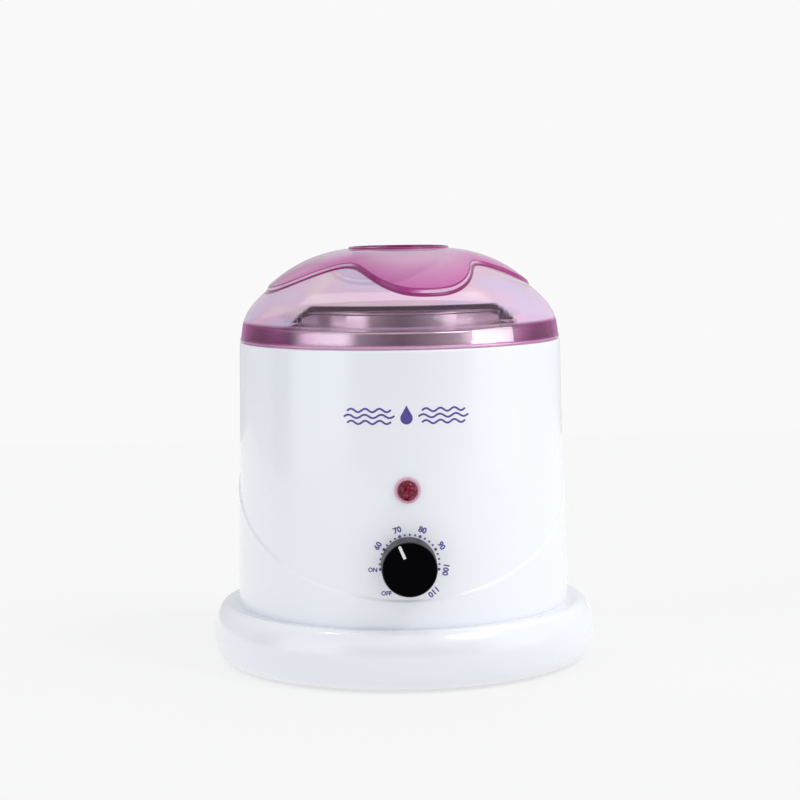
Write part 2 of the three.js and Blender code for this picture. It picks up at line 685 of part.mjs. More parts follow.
// Points of the round bend that replaces the corner b of the line a-b-c.
function fillet(a, b, c, radius) {
  const toA = a.clone().sub(b).normalize();
  const toC = c.clone().sub(b).normalize();
  const half = toA.angleTo(toC) / 2;
  const middle = toA.clone().add(toC).normalize().multiplyScalar(radius / Math.sin(half)).add(b);
  const start = toA.multiplyScalar(radius / Math.tan(half)).add(b);
  const end = toC.multiplyScalar(radius / Math.tan(half)).add(b);
  const from = start.clone().sub(middle);
  const to = end.clone().sub(middle);
  const turn = new THREE.Vector3().crossVectors(from, to).normalize();
  const steps = 4;
  return Array.from({ length: steps + 1 }, (_, i) => (
    from.clone().applyAxisAngle(turn, (from.angleTo(to) * i) / steps).add(middle)
  ));
}

// A round wire through points that lie in one plane, mitred at each point and capped at both ends.
function sweep(points, radius, sides) {
  const normal = new THREE.Vector3();
  for (let i = 2; i < points.length && normal.lengthSq() < 1e-6; i += 1) {
    const first = points[i - 1].clone().sub(points[i - 2]);
    normal.crossVectors(first, points[i].clone().sub(points[i - 1]));
  }
  normal.normalize();
  const positions = [];
  const last = points.length - 1;
  points.forEach((point, i) => {
    const before = points[Math.max(i - 1, 0)].clone();
    const along = points[Math.min(i + 1, last)].clone().sub(before).normalize();
    const across = new THREE.Vector3().crossVectors(normal, along).normalize();
    for (let k = 0; k < sides; k += 1) {
      const a = (2 * Math.PI * k) / sides;
      const offset = across.clone().multiplyScalar(radius * Math.cos(a)).addScaledVector(normal, radius * Math.sin(a));
      positions.push(...point.clone().add(offset).toArray());
    }
  });
  const startCap = positions.length / 3;
  positions.push(...points[0].toArray(), ...points[last].toArray());
  const indices = [];
  for (let i = 0; i < last; i += 1) {
    for (let k = 0; k < sides; k += 1) {
      const a = i * sides + k;
      const b = i * sides + ((k + 1) % sides);
      indices.push(a, b, b + sides, a, b + sides, a + sides);
    }
  }
  for (let k = 0; k < sides; k += 1) {
    const next = (k + 1) % sides;
    indices.push(startCap, next, k, startCap + 1, last * sides + k, last * sides + next);
  }
  const geometry = new THREE.BufferGeometry();
  geometry.setAttribute('position', new THREE.Float32BufferAttribute(positions, 3));
  geometry.setIndex(indices);
  return geometry;
}

function buildPot() {
  addPart('wax_pot', waxPot(), brushedAluminium);
  [['left', -1], ['right', 1]].forEach(([label, side]) => {
    addPart(`pot_ear_${label}`, potEar(side), zincSteel);
    [['front', -1], ['rear', 1]].forEach(([place, end]) => {
      const rivet = addPart(`ear_rivet_${label}_${place}`, earRivet(), zincSteel, 0, end * RIVET_SPREAD, EAR_PIVOT_Z);
      if (side < 0) rivet.rotation.z = Math.PI;
    });
  });
  addPart('bail_wire', bailWire(), darkWire);
}

// ---------- lid ----------

function domeHeight(radius) {
  return LID_SKIRT_TOP_Z + 0.2 + DOME_HEIGHT * (1 - (radius / DOME_R) ** 2) ** DOME_POWER;
}

// Foot of the raised grip: four broad lobes with narrow valleys between them.
function gripFoot(angle) {
  const lobe = 1 - Math.abs(Math.sin(2 * (angle - radians(GRIP_TURN)))) ** GRIP_SHARPNESS;
  return GRIP_VALLEY_R + (GRIP_TIP_R - GRIP_VALLEY_R) * lobe;
}

// The lid's cross-section at one angle, going up outside and down inside.
function lidSection(angle) {
  const foot = gripFoot(angle);
  const section = [
    [LID_R + 0.3, BODY_TOP_Z + GAP],
    [LID_R + 0.3, BODY_TOP_Z + 1.3],
    [LID_SKIRT_TOP_R, LID_SKIRT_TOP_Z],
    [DOME_R - 0.1, domeHeight(DOME_R - 0.1)],
  ];
  const domeSteps = 4;
  for (let i = 1; i <= domeSteps; i += 1) {
    const share = (i / domeSteps) ** 0.8;
    const r = DOME_R - 0.1 + (foot - DOME_R + 0.1) * share;
    section.push([r, domeHeight(r)]);
  }
  const flankSteps = 2;
  for (let i = 1; i <= flankSteps; i += 1) {
    const share = i / flankSteps;
    const r = foot - GRIP_FLANK * share;
    section.push([r, domeHeight(r) + GRIP_STEP * THREE.MathUtils.smoothstep(share, 0, 1)]);
  }
  const top = foot - GRIP_FLANK;
  const topSteps = 4;
  const lipFoot = LID_HOLE_R + LIP_WIDTH;
  for (let i = 1; i <= topSteps; i += 1) {
    const share = i / topSteps;
    const r = top + (lipFoot - top) * share;
    section.push([r, domeHeight(r) + GRIP_STEP + GRIP_BULGE * 4 * share * (1 - share)]);
  }
  const lipTop = domeHeight(LID_HOLE_R) + GRIP_STEP + LIP_HEIGHT;
  section.push([lipFoot - 0.4, lipTop], [LID_HOLE_R + 0.4, lipTop], [LID_HOLE_R, lipTop - 0.4]);
  const innerRadii = [LID_HOLE_R, 38, 52, 62, 68.5];
  for (const r of innerRadii) section.push([r, domeHeight(r) - LID_WALL * (1 + (r / DOME_R) ** 4)]);
  section.push([LID_SKIRT_TOP_R - LID_WALL, LID_SKIRT_TOP_Z - 1.5]);
  section.push([LID_R - LID_WALL, BODY_TOP_Z + GAP]);
  return section;
}

function lidShell() {
  const segments = 56;
  const positions = [];
  const indices = [];
  let rows = 0;
  for (let i = 0; i < segments; i += 1) {
    const angle = (2 * Math.PI * i) / segments;
    const section = lidSection(angle);
    rows = section.length;
    for (const [r, z] of section) positions.push(r * Math.sin(angle), -r * Math.cos(angle), z);
  }
  for (let i = 0; i < segments; i += 1) {
    const next = (i + 1) % segments;
    for (let k = 0; k < rows; k += 1) {
      const up = (k + 1) % rows;
      indices.push(i * rows + k, next * rows + k, next * rows + up);
      indices.push(i * rows + k, next * rows + up, i * rows + up);
    }
  }
  const geometry = new THREE.BufferGeometry();
  geometry.setAttribute('position', new THREE.Float32BufferAttribute(positions, 3));
  geometry.setIndex(indices);
  return geometry;
}

buildBase();
addPart('body_shell', bodyShell(), whiteGloss);
buildChamber();
buildControls();
buildWiring();
buildPot();
addPart('lid', lidShell(), pinkClear);

export default model;
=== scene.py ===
"""Looks of the wax warmer pot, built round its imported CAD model.

Lengths are in millimetres unless a name says otherwise. MM turns them into metres.
Angles round the object start at its front, -Y, and grow towards +X.
"""

import json
import math

import bmesh
import bpy
from mathutils import Matrix, Vector


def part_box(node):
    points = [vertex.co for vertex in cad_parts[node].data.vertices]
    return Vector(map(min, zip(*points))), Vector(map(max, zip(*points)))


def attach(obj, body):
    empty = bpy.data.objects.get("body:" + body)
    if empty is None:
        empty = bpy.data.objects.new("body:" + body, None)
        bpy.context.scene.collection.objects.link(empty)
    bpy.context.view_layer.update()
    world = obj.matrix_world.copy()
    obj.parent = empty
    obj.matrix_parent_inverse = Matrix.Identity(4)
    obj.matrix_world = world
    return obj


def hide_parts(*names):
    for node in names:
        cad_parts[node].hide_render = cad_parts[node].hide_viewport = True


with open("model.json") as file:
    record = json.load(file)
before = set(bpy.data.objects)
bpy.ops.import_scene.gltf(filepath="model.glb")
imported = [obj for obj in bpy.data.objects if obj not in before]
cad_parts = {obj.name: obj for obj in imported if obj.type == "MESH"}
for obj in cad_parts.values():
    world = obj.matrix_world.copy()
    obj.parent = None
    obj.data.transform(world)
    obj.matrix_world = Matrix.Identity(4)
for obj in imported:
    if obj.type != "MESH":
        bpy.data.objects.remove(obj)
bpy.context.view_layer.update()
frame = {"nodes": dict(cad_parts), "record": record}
MM = 0.001
# The gap that the frame keeps between parts that touch
GAP = 0.3


def low(node, axis=2):
    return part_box(node)[0][axis] / MM


def high(node, axis=2):
    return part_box(node)[1][axis] / MM


def radius(node):
    return (high(node, 0) - low(node, 0)) / 2


def middle(node, axis):
    return (high(node, axis) + low(node, axis)) / 2


# Places and sizes that come from the frame
BASE_Z = low("base_ring")
BASE_R = radius("base_ring")
BODY_Z = low("body_shell")
DECK_Z = low("chamber_collar") - GAP
LEDGE = 0.7
BODY_DRAFT = 2
BODY_FOOT_R = radius("body_shell") - LEDGE
BODY_TOP_R = BODY_FOOT_R - BODY_DRAFT
KNOB_Z = middle("knob", 2)
KNOB_FRONT = -low("knob", 1)
KNOB_BACK = -high("knob", 1)
KNOB_R = radius("knob")
LAMP_Z = middle("indicator_lens", 2)
LAMP_FLANGE_R = radius("indicator_lens")
LAMP_REACH = 4.2
LAMP_FACE = -low("indicator_lens", 1) - LAMP_REACH
COLLAR_R = radius("chamber_collar")
COLLAR_TOP = high("chamber_collar")
POT_TOP = high("wax_pot")
POT_FLOOR = low("wax_pot")
LID_R = radius("lid")
LID_LOW = low("lid")

# The tilted ledge of the body
LEDGE_FRONT_Z = BASE_Z + 37.9
LEDGE_SIDE_Z = BASE_Z + 81.9
LEDGE_WIDTH = 1.2

# The pot and its bail
POT_R = 47.5
POT_WALL = 1.3
BEAD_R = 1.0
BAIL_WIRE_R = 1.1

# The lid
SKIRT_TOP_Z = BASE_Z + 156.1
SKIRT_TOP_R = 72.9
DOME_R = 72.6
DOME_HEIGHT = 33.9
DOME_POWER = 0.65
LID_WALL = 2.0
LID_HOLE_R = 21.8
GRIP_VALLEY_R = 42.0
GRIP_TIP_R = 62.0
GRIP_SHARPNESS = 2.8
GRIP_STEP = 1.7
GRIP_FLANK = 1.2
GRIP_BULGE = 1.3
GRIP_TURN = math.radians(10.5)
LIP_WIDTH = 1.6
LIP_HEIGHT = 0.9
WINDOW_R = 67.0
WINDOW_FADE = 0.6
WINDOW_HALF = math.radians(43)
WINDOW_LEAN = math.radians(6)
WINDOW_EDGE = math.radians(1.8)
HAZE = 0.62

# The dial and the print. Its angles are in degrees, counter-clockwise from the right as seen from the
# front.
DIAL_R = 13.1
LABEL_R = 16.2
DIAL_START = 189
DIAL_STEP = 40
DIAL_NUMBERS = ("60", "70", "80", "90", "100", "110")
DOTS_PER_STEP = 4
NUMBER_HEIGHT = 2.75
WORD_HEIGHT = 2.0
POINTER_ANGLE = 113
PRINT_SHIFT = 0.5
INK_LOW = -0.05
INK_HIGH = 0.06

# The studio
WORLD_STRENGTH = 2.5
BACKDROP = 0.947
ABOVE = 0.90
FLOOR_DIFFUSE = 0.22
FLOOR_GLOW = 0.72
PANELS = (
    (-180, 0.70), (-110, 0.62), (-100, 0.22), (-88, 0.25), (-80, 1.50), (-44, 1.80), (-34, 0.35), (-12, 0.12),
    (0, 0.06), (12, 0.14), (30, 0.34), (44, 0.60), (54, 1.55), (84, 1.60), (98, 0.85), (180, 0.70),
)
FLOOR_HALF_M = 0.9

# The camera, in the frame of the object
CAMERA_DISTANCE = 1026.7
CAMERA_HEIGHT = 219.6
CAMERA_SIDE_ANGLE = math.radians(-1.87)
CAMERA_YAW = math.radians(0.016)
CAMERA_PITCH = math.radians(-5.52)
CAMERA_ROLL = math.radians(-0.835)
CAMERA_LENS = 99.2


# ---------- node graphs ----------

class Graph:
    """A small helper that adds nodes to a tree and links them by their socket names."""

    def __init__(self, tree):
        self.tree = tree
        tree.nodes.clear()

    def add(self, kind, inputs=None, **settings):
        node = self.tree.nodes.new(kind)
        for key, value in settings.items():
            setattr(node, key, value)
        for key, value in (inputs or {}).items():
            if isinstance(value, bpy.types.NodeSocket):
                self.tree.links.new(value, node.inputs[key])
            else:
                node.inputs[key].default_value = value
        return node

    def math(self, operation, first, second=0.0):
        return self.add("ShaderNodeMath", {0: first, 1: second}, operation=operation).outputs[0]

    def noise(self, vector, scale, detail=2.0, roughness=0.5):
        inputs = {"Vector": vector, "Scale": scale, "Detail": detail, "Roughness": roughness}
        return self.add("ShaderNodeTexNoise", inputs).outputs["Fac"]

    def span(self, value, out_low, out_high, in_low=0.3, in_high=0.7):
        inputs = {
            "Value": value, "From Min": in_low, "From Max": in_high, "To Min": out_low, "To Max": out_high,
        }
        return self.add("ShaderNodeMapRange", inputs).outputs["Result"]

    def ramp(self, value, stops):
        node = self.add("ShaderNodeValToRGB", {"Fac": value})
        elements = node.color_ramp.elements
        while len(elements) < len(stops):
            elements.new(1.0)
        for element, (place, colour) in zip(elements, stops):
            element.position = place
            element.color = (*colour, 1.0)
        return node.outputs["Color"]

    def blend(self, share, first, second):
        node = self.add("ShaderNodeMix", data_type="RGBA")
        for socket, value in ((node.inputs[0], share), (node.inputs[6], first), (node.inputs[7], second)):
            if isinstance(value, bpy.types.NodeSocket):
                self.tree.links.new(value, socket)
            else:
                socket.default_value = value if isinstance(value, float) else (*value, 1.0)
        return node.outputs[2]

    def bump(self, height, strength, depth_m):
        inputs = {"Height": height, "Strength": strength, "Distance": depth_m}
        return self.add("ShaderNodeBump", inputs).outputs["Normal"]

    def place(self):
        return self.add("ShaderNodeTexCoord").outputs["Object"]

    def stretched(self, vector, scale):
        return self.add("ShaderNodeMapping", {"Vector": vector, "Scale": scale}).outputs["Vector"]

    def round_place(self, turn_scale, radius_scale, height_scale):
        """Coordinates that run round Z, so that a noise drawn in them makes marks of a lathe."""
        axes = self.add("ShaderNodeSeparateXYZ", {"Vector": self.place()}).outputs
        turn = self.math("ARCTAN2", axes["Y"], axes["X"])
        across = self.math("SQRT", self.math("ADD", self.math("MULTIPLY", axes["X"], axes["X"]),
                                             self.math("MULTIPLY", axes["Y"], axes["Y"])))
        inputs = {
            "X": self.math("MULTIPLY", turn, turn_scale),
            "Y": self.math("MULTIPLY", across, radius_scale),
            "Z": self.math("MULTIPLY", axes["Z"], height_scale),
        }
        return self.add("ShaderNodeCombineXYZ", inputs).outputs["Vector"]


def material(name):
    made = bpy.data.materials.new(name)
    made.use_nodes = True
    return made, Graph(made.node_tree)


def finish_material(graph, shader):
    graph.add("ShaderNodeOutputMaterial", {"Surface": shader})


def principled(graph, **sockets):
    inputs = {key.replace("_", " "): value for key, value in sockets.items()}
    return graph.add("ShaderNodeBsdfPrincipled", inputs)


def plastic(name, colour, rough_low, rough_high, grain_scale=500.0, grain_depth_m=2e-5, specular=0.5):
    """Moulded plastic, rubber or ceramic: a faint mottle, a fine grain and a slightly uneven gloss."""
    made, graph = material(name)
    place = graph.place()
    mottle = graph.noise(place, 35.0, 3.0)
    deeper = tuple(c * 0.96 for c in colour)
    grain = graph.noise(place, grain_scale, 3.0, 0.6)
    shader = principled(
        graph,
        Base_Color=graph.blend(mottle, colour, deeper),
        Roughness=graph.span(graph.noise(place, 60.0, 4.0), rough_low, rough_high),
        Specular_IOR_Level=specular,
        Normal=graph.bump(grain, 0.4, grain_depth_m),
    )
    finish_material(graph, shader.outputs[0])
    return made


def metal(name, colour, rough_low, rough_high, lathe=True, anisotropy=0.75):
    """Bright metal with the fine marks of the lathe, the brush or the die."""
    made, graph = material(name)
    if lathe:
        lines = graph.noise(graph.round_place(1.6, 5200.0, 5200.0), 1.0, 4.0, 0.7)
    else:
        lines = graph.noise(graph.stretched(graph.place(), (900.0, 2600.0, 2600.0)), 1.0, 3.0, 0.6)
    cloud = graph.noise(graph.place(), 45.0, 3.0)
    darker = tuple(c * 0.86 for c in colour)
    shader = principled(
        graph,
        Base_Color=graph.blend(graph.span(cloud, 0.0, 1.0), colour, darker),
        Metallic=1.0,
        Roughness=graph.span(lines, rough_low, rough_high),
        Anisotropic=anisotropy,
        Anisotropic_Rotation=0.25 if lathe else 0.0,
        Normal=graph.bump(lines, 0.2, 8e-6),
    )
    if lathe:
        tangent = graph.add("ShaderNodeTangent", direction_type="RADIAL", axis="Z")
        graph.tree.links.new(tangent.outputs[0], shader.inputs["Tangent"])
    finish_material(graph, shader.outputs[0])
    return made


def white_gloss():
    made, graph = material("white_gloss")
    place = graph.place()
    cloud = graph.noise(place, 14.0, 2.0)
    peel = graph.noise(place, 260.0, 2.0, 0.4)
    shader = principled(
        graph,
        Base_Color=graph.blend(cloud, (0.875, 0.892, 0.945), (0.855, 0.874, 0.932)),
        Roughness=graph.span(graph.noise(place, 50.0, 4.0), 0.20, 0.27),
        Coat_Weight=0.8,
        Coat_Roughness=0.08,
        Normal=graph.bump(peel, 0.25, 1.2e-5),
    )
    finish_material(graph, shader.outputs[0])
    return made


def printed_ink():
    made, graph = material("printed_ink")
    wear = graph.noise(graph.place(), 900.0, 3.0)
    shader = principled(
        graph,
        Base_Color=graph.blend(graph.span(wear, 0.0, 1.0), (0.075, 0.050, 0.30), (0.11, 0.08, 0.36)),
        Roughness=0.45,
    )
    finish_material(graph, shader.outputs[0])
    return made


def lid_clear():
    """Pink clear plastic with a pearl sheen.

    The mesh's first attribute is the colour that the light picks up there. It also holds painted
    shade: the dark lines of the grip and the dark side of each lobe. Its "milk" is the share of haze, and
    its "side" is 1 on the upright skirt, where the light runs far through the plastic at its edges.
    """
    made, graph = material("lid_clear")
    place = graph.place()
    tint_and_shade = graph.add("ShaderNodeAttribute", attribute_name="tint_and_shade").outputs["Fac"]
    milk_share = graph.add("ShaderNodeAttribute", attribute_name="milk").outputs["Fac"]
    side = graph.add("ShaderNodeAttribute", attribute_name="side").outputs["Fac"]
    facing = graph.add("ShaderNodeLayerWeight", {"Blend": 0.5}).outputs["Facing"]
    grazing = graph.math("MULTIPLY", graph.math("POWER", facing, 1.6), 2.0)
    path = graph.math("MULTIPLY", graph.math("MINIMUM", grazing, 0.62), side)
    colour_depth_and_shade = graph.math("ADD", tint_and_shade, path)
    # Both colours darken as the sum grows, so where it holds the grip's painted shade they paint it dark.
    through = graph.ramp(colour_depth_and_shade, [
        (0.0, (0.975, 0.935, 0.965)), (0.2, (0.95, 0.87, 0.93)), (0.5, (0.86, 0.60, 0.79)),
        (0.75, (0.60, 0.14, 0.49)), (1.0, (0.26, 0.0, 0.13)),
    ])
    clear = graph.add("ShaderNodeBsdfTransparent", {"Color": through})
    streaks = graph.noise(graph.stretched(place, (15.0, 15.0, 46.0)), 1.0, 2.0, 0.5)
    pearl = graph.ramp(streaks, [
        (0.30, (0.84, 0.60, 0.80)), (0.40, (0.68, 0.62, 0.90)), (0.47, (0.86, 0.58, 0.78)),
        (0.54, (0.94, 0.74, 0.76)), (0.62, (0.84, 0.58, 0.82)), (0.72, (0.72, 0.68, 0.92)),
    ])
    dye_and_painted_shade = graph.ramp(colour_depth_and_shade, [
        (0.0, (0.90, 0.76, 0.87)), (0.2, (0.74, 0.48, 0.66)), (0.5, (0.56, 0.13, 0.40)),
        (0.75, (0.36, 0.02, 0.22)), (1.0, (0.20, 0.0, 0.09)),
    ])
    pearl_share = graph.span(colour_depth_and_shade, 0.8, 0.0, 0.1, 0.4)
    milk = principled(
        graph,
        Base_Color=graph.blend(pearl_share, dye_and_painted_shade, pearl),
        Roughness=graph.span(graph.noise(place, 80.0, 3.0), 0.10, 0.16),
    )
    mixed = graph.add("ShaderNodeMixShader", {0: milk_share, 1: clear.outputs[0], 2: milk.outputs[0]})
    gloss = graph.add("ShaderNodeBsdfGlossy", {"Color": (1.0, 0.98, 1.0, 1.0), "Roughness": 0.04})
    shine = graph.math("ADD", 0.012, graph.math("MULTIPLY", graph.math("POWER", facing, 6.0), 0.45))
    shine = graph.math("ADD", shine, graph.math("MULTIPLY", side, 0.06))
    coated = graph.add("ShaderNodeMixShader", {0: shine, 1: mixed.outputs[0], 2: gloss.outputs[0]})
    finish_material(graph, coated.outputs[0])
    return made


def lens_red():
    made, graph = material("lens_red")
    place = graph.place()
    # Painted glints: lighter red spots in the colour stand for light caught in the cut facets.
    painted_glints = graph.noise(place, 900.0, 3.0, 0.7)
    shader = principled(
        graph,
        Base_Color=graph.ramp(painted_glints, [
            (0.36, (0.045, 0.0, 0.008)), (0.50, (0.16, 0.0, 0.014)),
            (0.60, (0.30, 0.01, 0.05)), (0.68, (0.55, 0.10, 0.2)),
        ]),
        Roughness=graph.span(graph.noise(place, 700.0), 0.06, 0.14),
        Specular_IOR_Level=0.35,
    )
    finish_material(graph, shader.outputs[0])
    return made


def flange_pink():
    made, graph = material("flange_pink")
    place = graph.place()
    shader = principled(
        graph,
        Base_Color=graph.blend(graph.noise(place, 700.0), (0.90, 0.42, 0.62), (0.95, 0.56, 0.74)),
        Roughness=graph.span(graph.noise(place, 400.0), 0.14, 0.2),
        Alpha=0.62,
    )
    finish_material(graph, shader.outputs[0])
    return made


def clear_glass():
    made, graph = material("lamp_glass")
    place = graph.place()
    shader = principled(
        graph,
        Base_Color=graph.blend(graph.noise(place, 300.0), (0.95, 0.90, 0.84), (0.90, 0.84, 0.78)),
        Roughness=0.05,
        Alpha=0.45,
    )
    finish_material(graph, shader.outputs[0])
    return made


def fibre_blanket():
    made, graph = material("fibre_wool")
    place = graph.place()
    strands = graph.noise(graph.stretched(place, (700.0, 700.0, 160.0)), 1.0, 5.0, 0.75)
    shader = principled(
        graph,
        Base_Color=graph.ramp(strands, [(0.3, (0.42, 0.38, 0.30)), (0.6, (0.74, 0.70, 0.62))]),
        Roughness=0.95,
        Sheen_Weight=0.4,
        Normal=graph.bump(strands, 0.9, 4e-4),
    )
    finish_material(graph, shader.outputs[0])
    return made


def make_materials():
    return {
        "white_gloss": white_gloss(),
        "base_plate_black": plastic("base_plate_black", (0.030, 0.030, 0.034), 0.5, 0.65, 1400.0, 1.2e-4),
        "foot_rubber": plastic("foot_rubber", (0.020, 0.020, 0.022), 0.7, 0.85, 1100.0, 6e-5),
        "zinc_steel": metal("zinc_steel", (0.66, 0.67, 0.69), 0.26, 0.38, lathe=False),
        "brushed_aluminium": metal("brushed_aluminium", (0.76, 0.72, 0.73), 0.12, 0.20, anisotropy=0.6),
        "copper_capillary": metal("copper_capillary", (0.82, 0.46, 0.30), 0.25, 0.40, lathe=False),
        "silicone_gasket": plastic("silicone_gasket", (0.34, 0.10, 0.08), 0.55, 0.7),
        "mica_band": metal("mica_band", (0.42, 0.38, 0.32), 0.40, 0.55),
        "fibre_wool": fibre_blanket(),
        "phenolic_black": plastic("phenolic_black", (0.045, 0.036, 0.034), 0.35, 0.5, 900.0, 6e-5),
        "thermostat_ceramic": plastic("thermostat_ceramic", (0.80, 0.77, 0.70), 0.4, 0.55, 700.0, 8e-5),
        "knob_black": plastic("knob_black", (0.012, 0.011, 0.015), 0.38, 0.5, 1500.0, 2.5e-5),
        # Painted shade: the knob's front face, a darker copy of its black plastic that hardly reflects.
        "knob_face": plastic("knob_face", (0.0012, 0.0012, 0.0018), 0.4, 0.5, 1300.0, 2e-5, specular=0.02),
        "pointer_white": plastic("pointer_white", (0.82, 0.82, 0.84), 0.35, 0.5, 1200.0, 2e-5),
        "lamp_red": lens_red(),
        "lamp_flange": flange_pink(),
        "lamp_glass": clear_glass(),
        "wire_insulation": plastic("wire_insulation", (0.52, 0.47, 0.42), 0.6, 0.8, 1600.0, 1.2e-4),
        "gland_rubber": plastic("gland_rubber", (0.028, 0.028, 0.031), 0.5, 0.65, 1100.0, 6e-5),
        "bail_steel": metal("bail_steel", (0.075, 0.05, 0.065), 0.16, 0.26, lathe=False),
        "lid_pink_clear": lid_clear(),
        "printed_ink": printed_ink(),
    }


# ---------- outlines and meshes ----------

def soften(corners, steps=4):
    """The corners of a ring in order. Each one given as (r, z, fillet) is cut back and rounded."""
    outline = []
    count = len(corners)
    for i, corner in enumerate(corners):
        here = Vector(corner[:2])
        fillet = corner[2] if len(corner) > 2 else 0
        if not fillet:
            outline.append(tuple(here))
            continue
        before = Vector(corners[i - 1][:2]) - here
        after = Vector(corners[(i + 1) % count][:2]) - here
        start = here + before.normalized() * fillet
        end = here + after.normalized() * fillet
        for k in range(steps + 1):
            t = k / steps
            outline.append(tuple(start * (1 - t) ** 2 + here * 2 * t * (1 - t) + end * t ** 2))
    return outline


def flowing(points, steps=5):
    """A smooth line through points, by Catmull-Rom."""
    line = []
    padded = [points[0], *points, points[-1]]
    for i in range(1, len(padded) - 2):
        p0, p1, p2, p3 = (Vector(p) for p in padded[i - 1:i + 3])
        for k in range(steps):
            t = k / steps
            line.append(tuple(0.5 * (2 * p1 + (p2 - p0) * t + (2 * p0 - 5 * p1 + 4 * p2 - p3) * t ** 2
                                     + (3 * p1 - p0 - 3 * p2 + p3) * t ** 3)))
    line.append(tuple(points[-1]))
    return line


def smooth_share(x):
    x = min(max(x, 0.0), 1.0)
    return x * x * (3 - 2 * x)


def around(angle, r, z):
    return (r * math.sin(angle), -r * math.cos(angle), z)


def revolve(outline, segments=160):
    """Vertices and faces of an outline, its outer side going up, turned round Z."""
    verts, faces, rings = [], [], []
    for r, z in outline:
        if r < 1e-6:
            rings.append([len(verts)])
            verts.append((0.0, 0.0, z))
        else:
            rings.append(list(range(len(verts), len(verts) + segments)))
            verts += [around(math.tau * i / segments, r, z) for i in range(segments)]
    pairs = list(zip(rings, rings[1:]))
    if len(rings[0]) > 1 and len(rings[-1]) > 1:
        pairs.append((rings[-1], rings[0]))
    for lower, upper in pairs:
        for i in range(segments):
            j = (i + 1) % segments
            corners = [lower[i % len(lower)], lower[j % len(lower)],
                       upper[j % len(upper)], upper[i % len(upper)]]
            face = list(dict.fromkeys(corners))
            if len(face) > 2:
                faces.append(face)
    return verts, faces


def revolve_sections(section_at, segments):
    """The same, for a closed outline that changes with the angle. The outlines come back as well."""
    sections = [section_at(math.tau * i / segments) for i in range(segments)]
    rows = len(sections[0])
    verts = [around(math.tau * i / segments, *point[:2]) for i, s in enumerate(sections) for point in s]
    faces = []
    for i in range(segments):
        j = (i + 1) % segments
        for k in range(rows):
            up = (k + 1) % rows
            faces.append([i * rows + k, j * rows + k, j * rows + up, i * rows + up])
    return verts, faces, sections


def add_piece(name, shape, finish, body, stands_for=(), place=None, sharp_angle=35.0):
    """A new mesh object in metres from a shape in millimetres, riding on its body."""
    verts, faces = shape[:2]
    mesh = bpy.data.meshes.new(name)
    mesh.from_pydata([tuple(c * MM for c in v) for v in verts], [], faces)
    if place is not None:
        mesh.transform(place)
    tidy = bmesh.new()
    tidy.from_mesh(mesh)
    bmesh.ops.recalc_face_normals(tidy, faces=tidy.faces)
    tidy.to_mesh(mesh)
    tidy.free()
    mesh.shade_smooth()
    mesh.set_sharp_from_angle(angle=math.radians(sharp_angle))
    made = bpy.data.objects.new(name, mesh)
    bpy.context.collection.objects.link(made)
    mesh.materials.append(finish)
    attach(made, body)
    if stands_for:
        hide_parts(*stands_for)
    return made


def facing_front(z):
    """Turns a shape made round Z so that its top looks to -Y, with its axis at height z."""
    return Matrix.Translation((0, 0, z * MM)) @ Matrix.Rotation(math.radians(90), 4, "X")


def loop_faces(count):
    """Faces of a closed plate whose lower outline is followed by its upper one: both ends, then the rim."""
    rim = [[k, (k + 1) % count, count + (k + 1) % count, count + k] for k in range(count)]
    return [list(range(count))[::-1], list(range(count, 2 * count)), *rim]


def sweep(points, r, sides):
    """A round wire along points, with frames carried from each point to the next."""
    points = [Vector(p) for p in points]
    last = len(points) - 1
    along = [(points[min(i + 1, last)] - points[max(i - 1, 0)]).normalized() for i in range(last + 1)]
    side = along[0].orthogonal().normalized()
    verts, faces = [], []
    for i, point in enumerate(points):
        if i:
            side = (side - along[i] * side.dot(along[i])).normalized()
        other = along[i].cross(side)
        for k in range(sides):
            a = math.tau * k / sides
            verts.append(tuple(point + side * (r * math.cos(a)) + other * (r * math.sin(a))))
    for i in range(last):
        for k in range(sides):
            n = (k + 1) % sides
            faces.append([i * sides + k, i * sides + n, (i + 1) * sides + n, (i + 1) * sides + k])
    faces.append(list(range(sides))[::-1])
    faces.append([last * sides + k for k in range(sides)])
    return verts, faces


def bend(a, b, c, r, steps=8):
    """Points of the round bend that replaces the corner b of the line a-b-c."""
    to_a, to_c = (a - b).normalized(), (c - b).normalized()
    half = to_a.angle(to_c) / 2
    centre = b + (to_a + to_c).normalized() * (r / math.sin(half))
    start = b + to_a * (r / math.tan(half)) - centre
    end = b + to_c * (r / math.tan(half)) - centre
    turn = start.cross(end).normalized()
    swing = start.angle(end)
    return [centre + Matrix.Rotation(swing * i / steps, 3, turn) @ start for i in range(steps + 1)]


# ---------- housing ----------

def shell_radius(z):
    """Radius of the upper part of the body at height z."""
    share = (z - BODY_Z) / (DECK_Z - BODY_Z)
    return BODY_FOOT_R + (BODY_TOP_R - BODY_FOOT_R) * share


def ledge_height(angle):
    return LEDGE_FRONT_Z + (LEDGE_SIDE_Z - LEDGE_FRONT_Z) * (1 - math.cos(angle))


def outer_radius(angle, z):
    below = smooth_share(0.5 + (ledge_height(angle) - z) / LEDGE_WIDTH)
    return shell_radius(z) + LEDGE * below


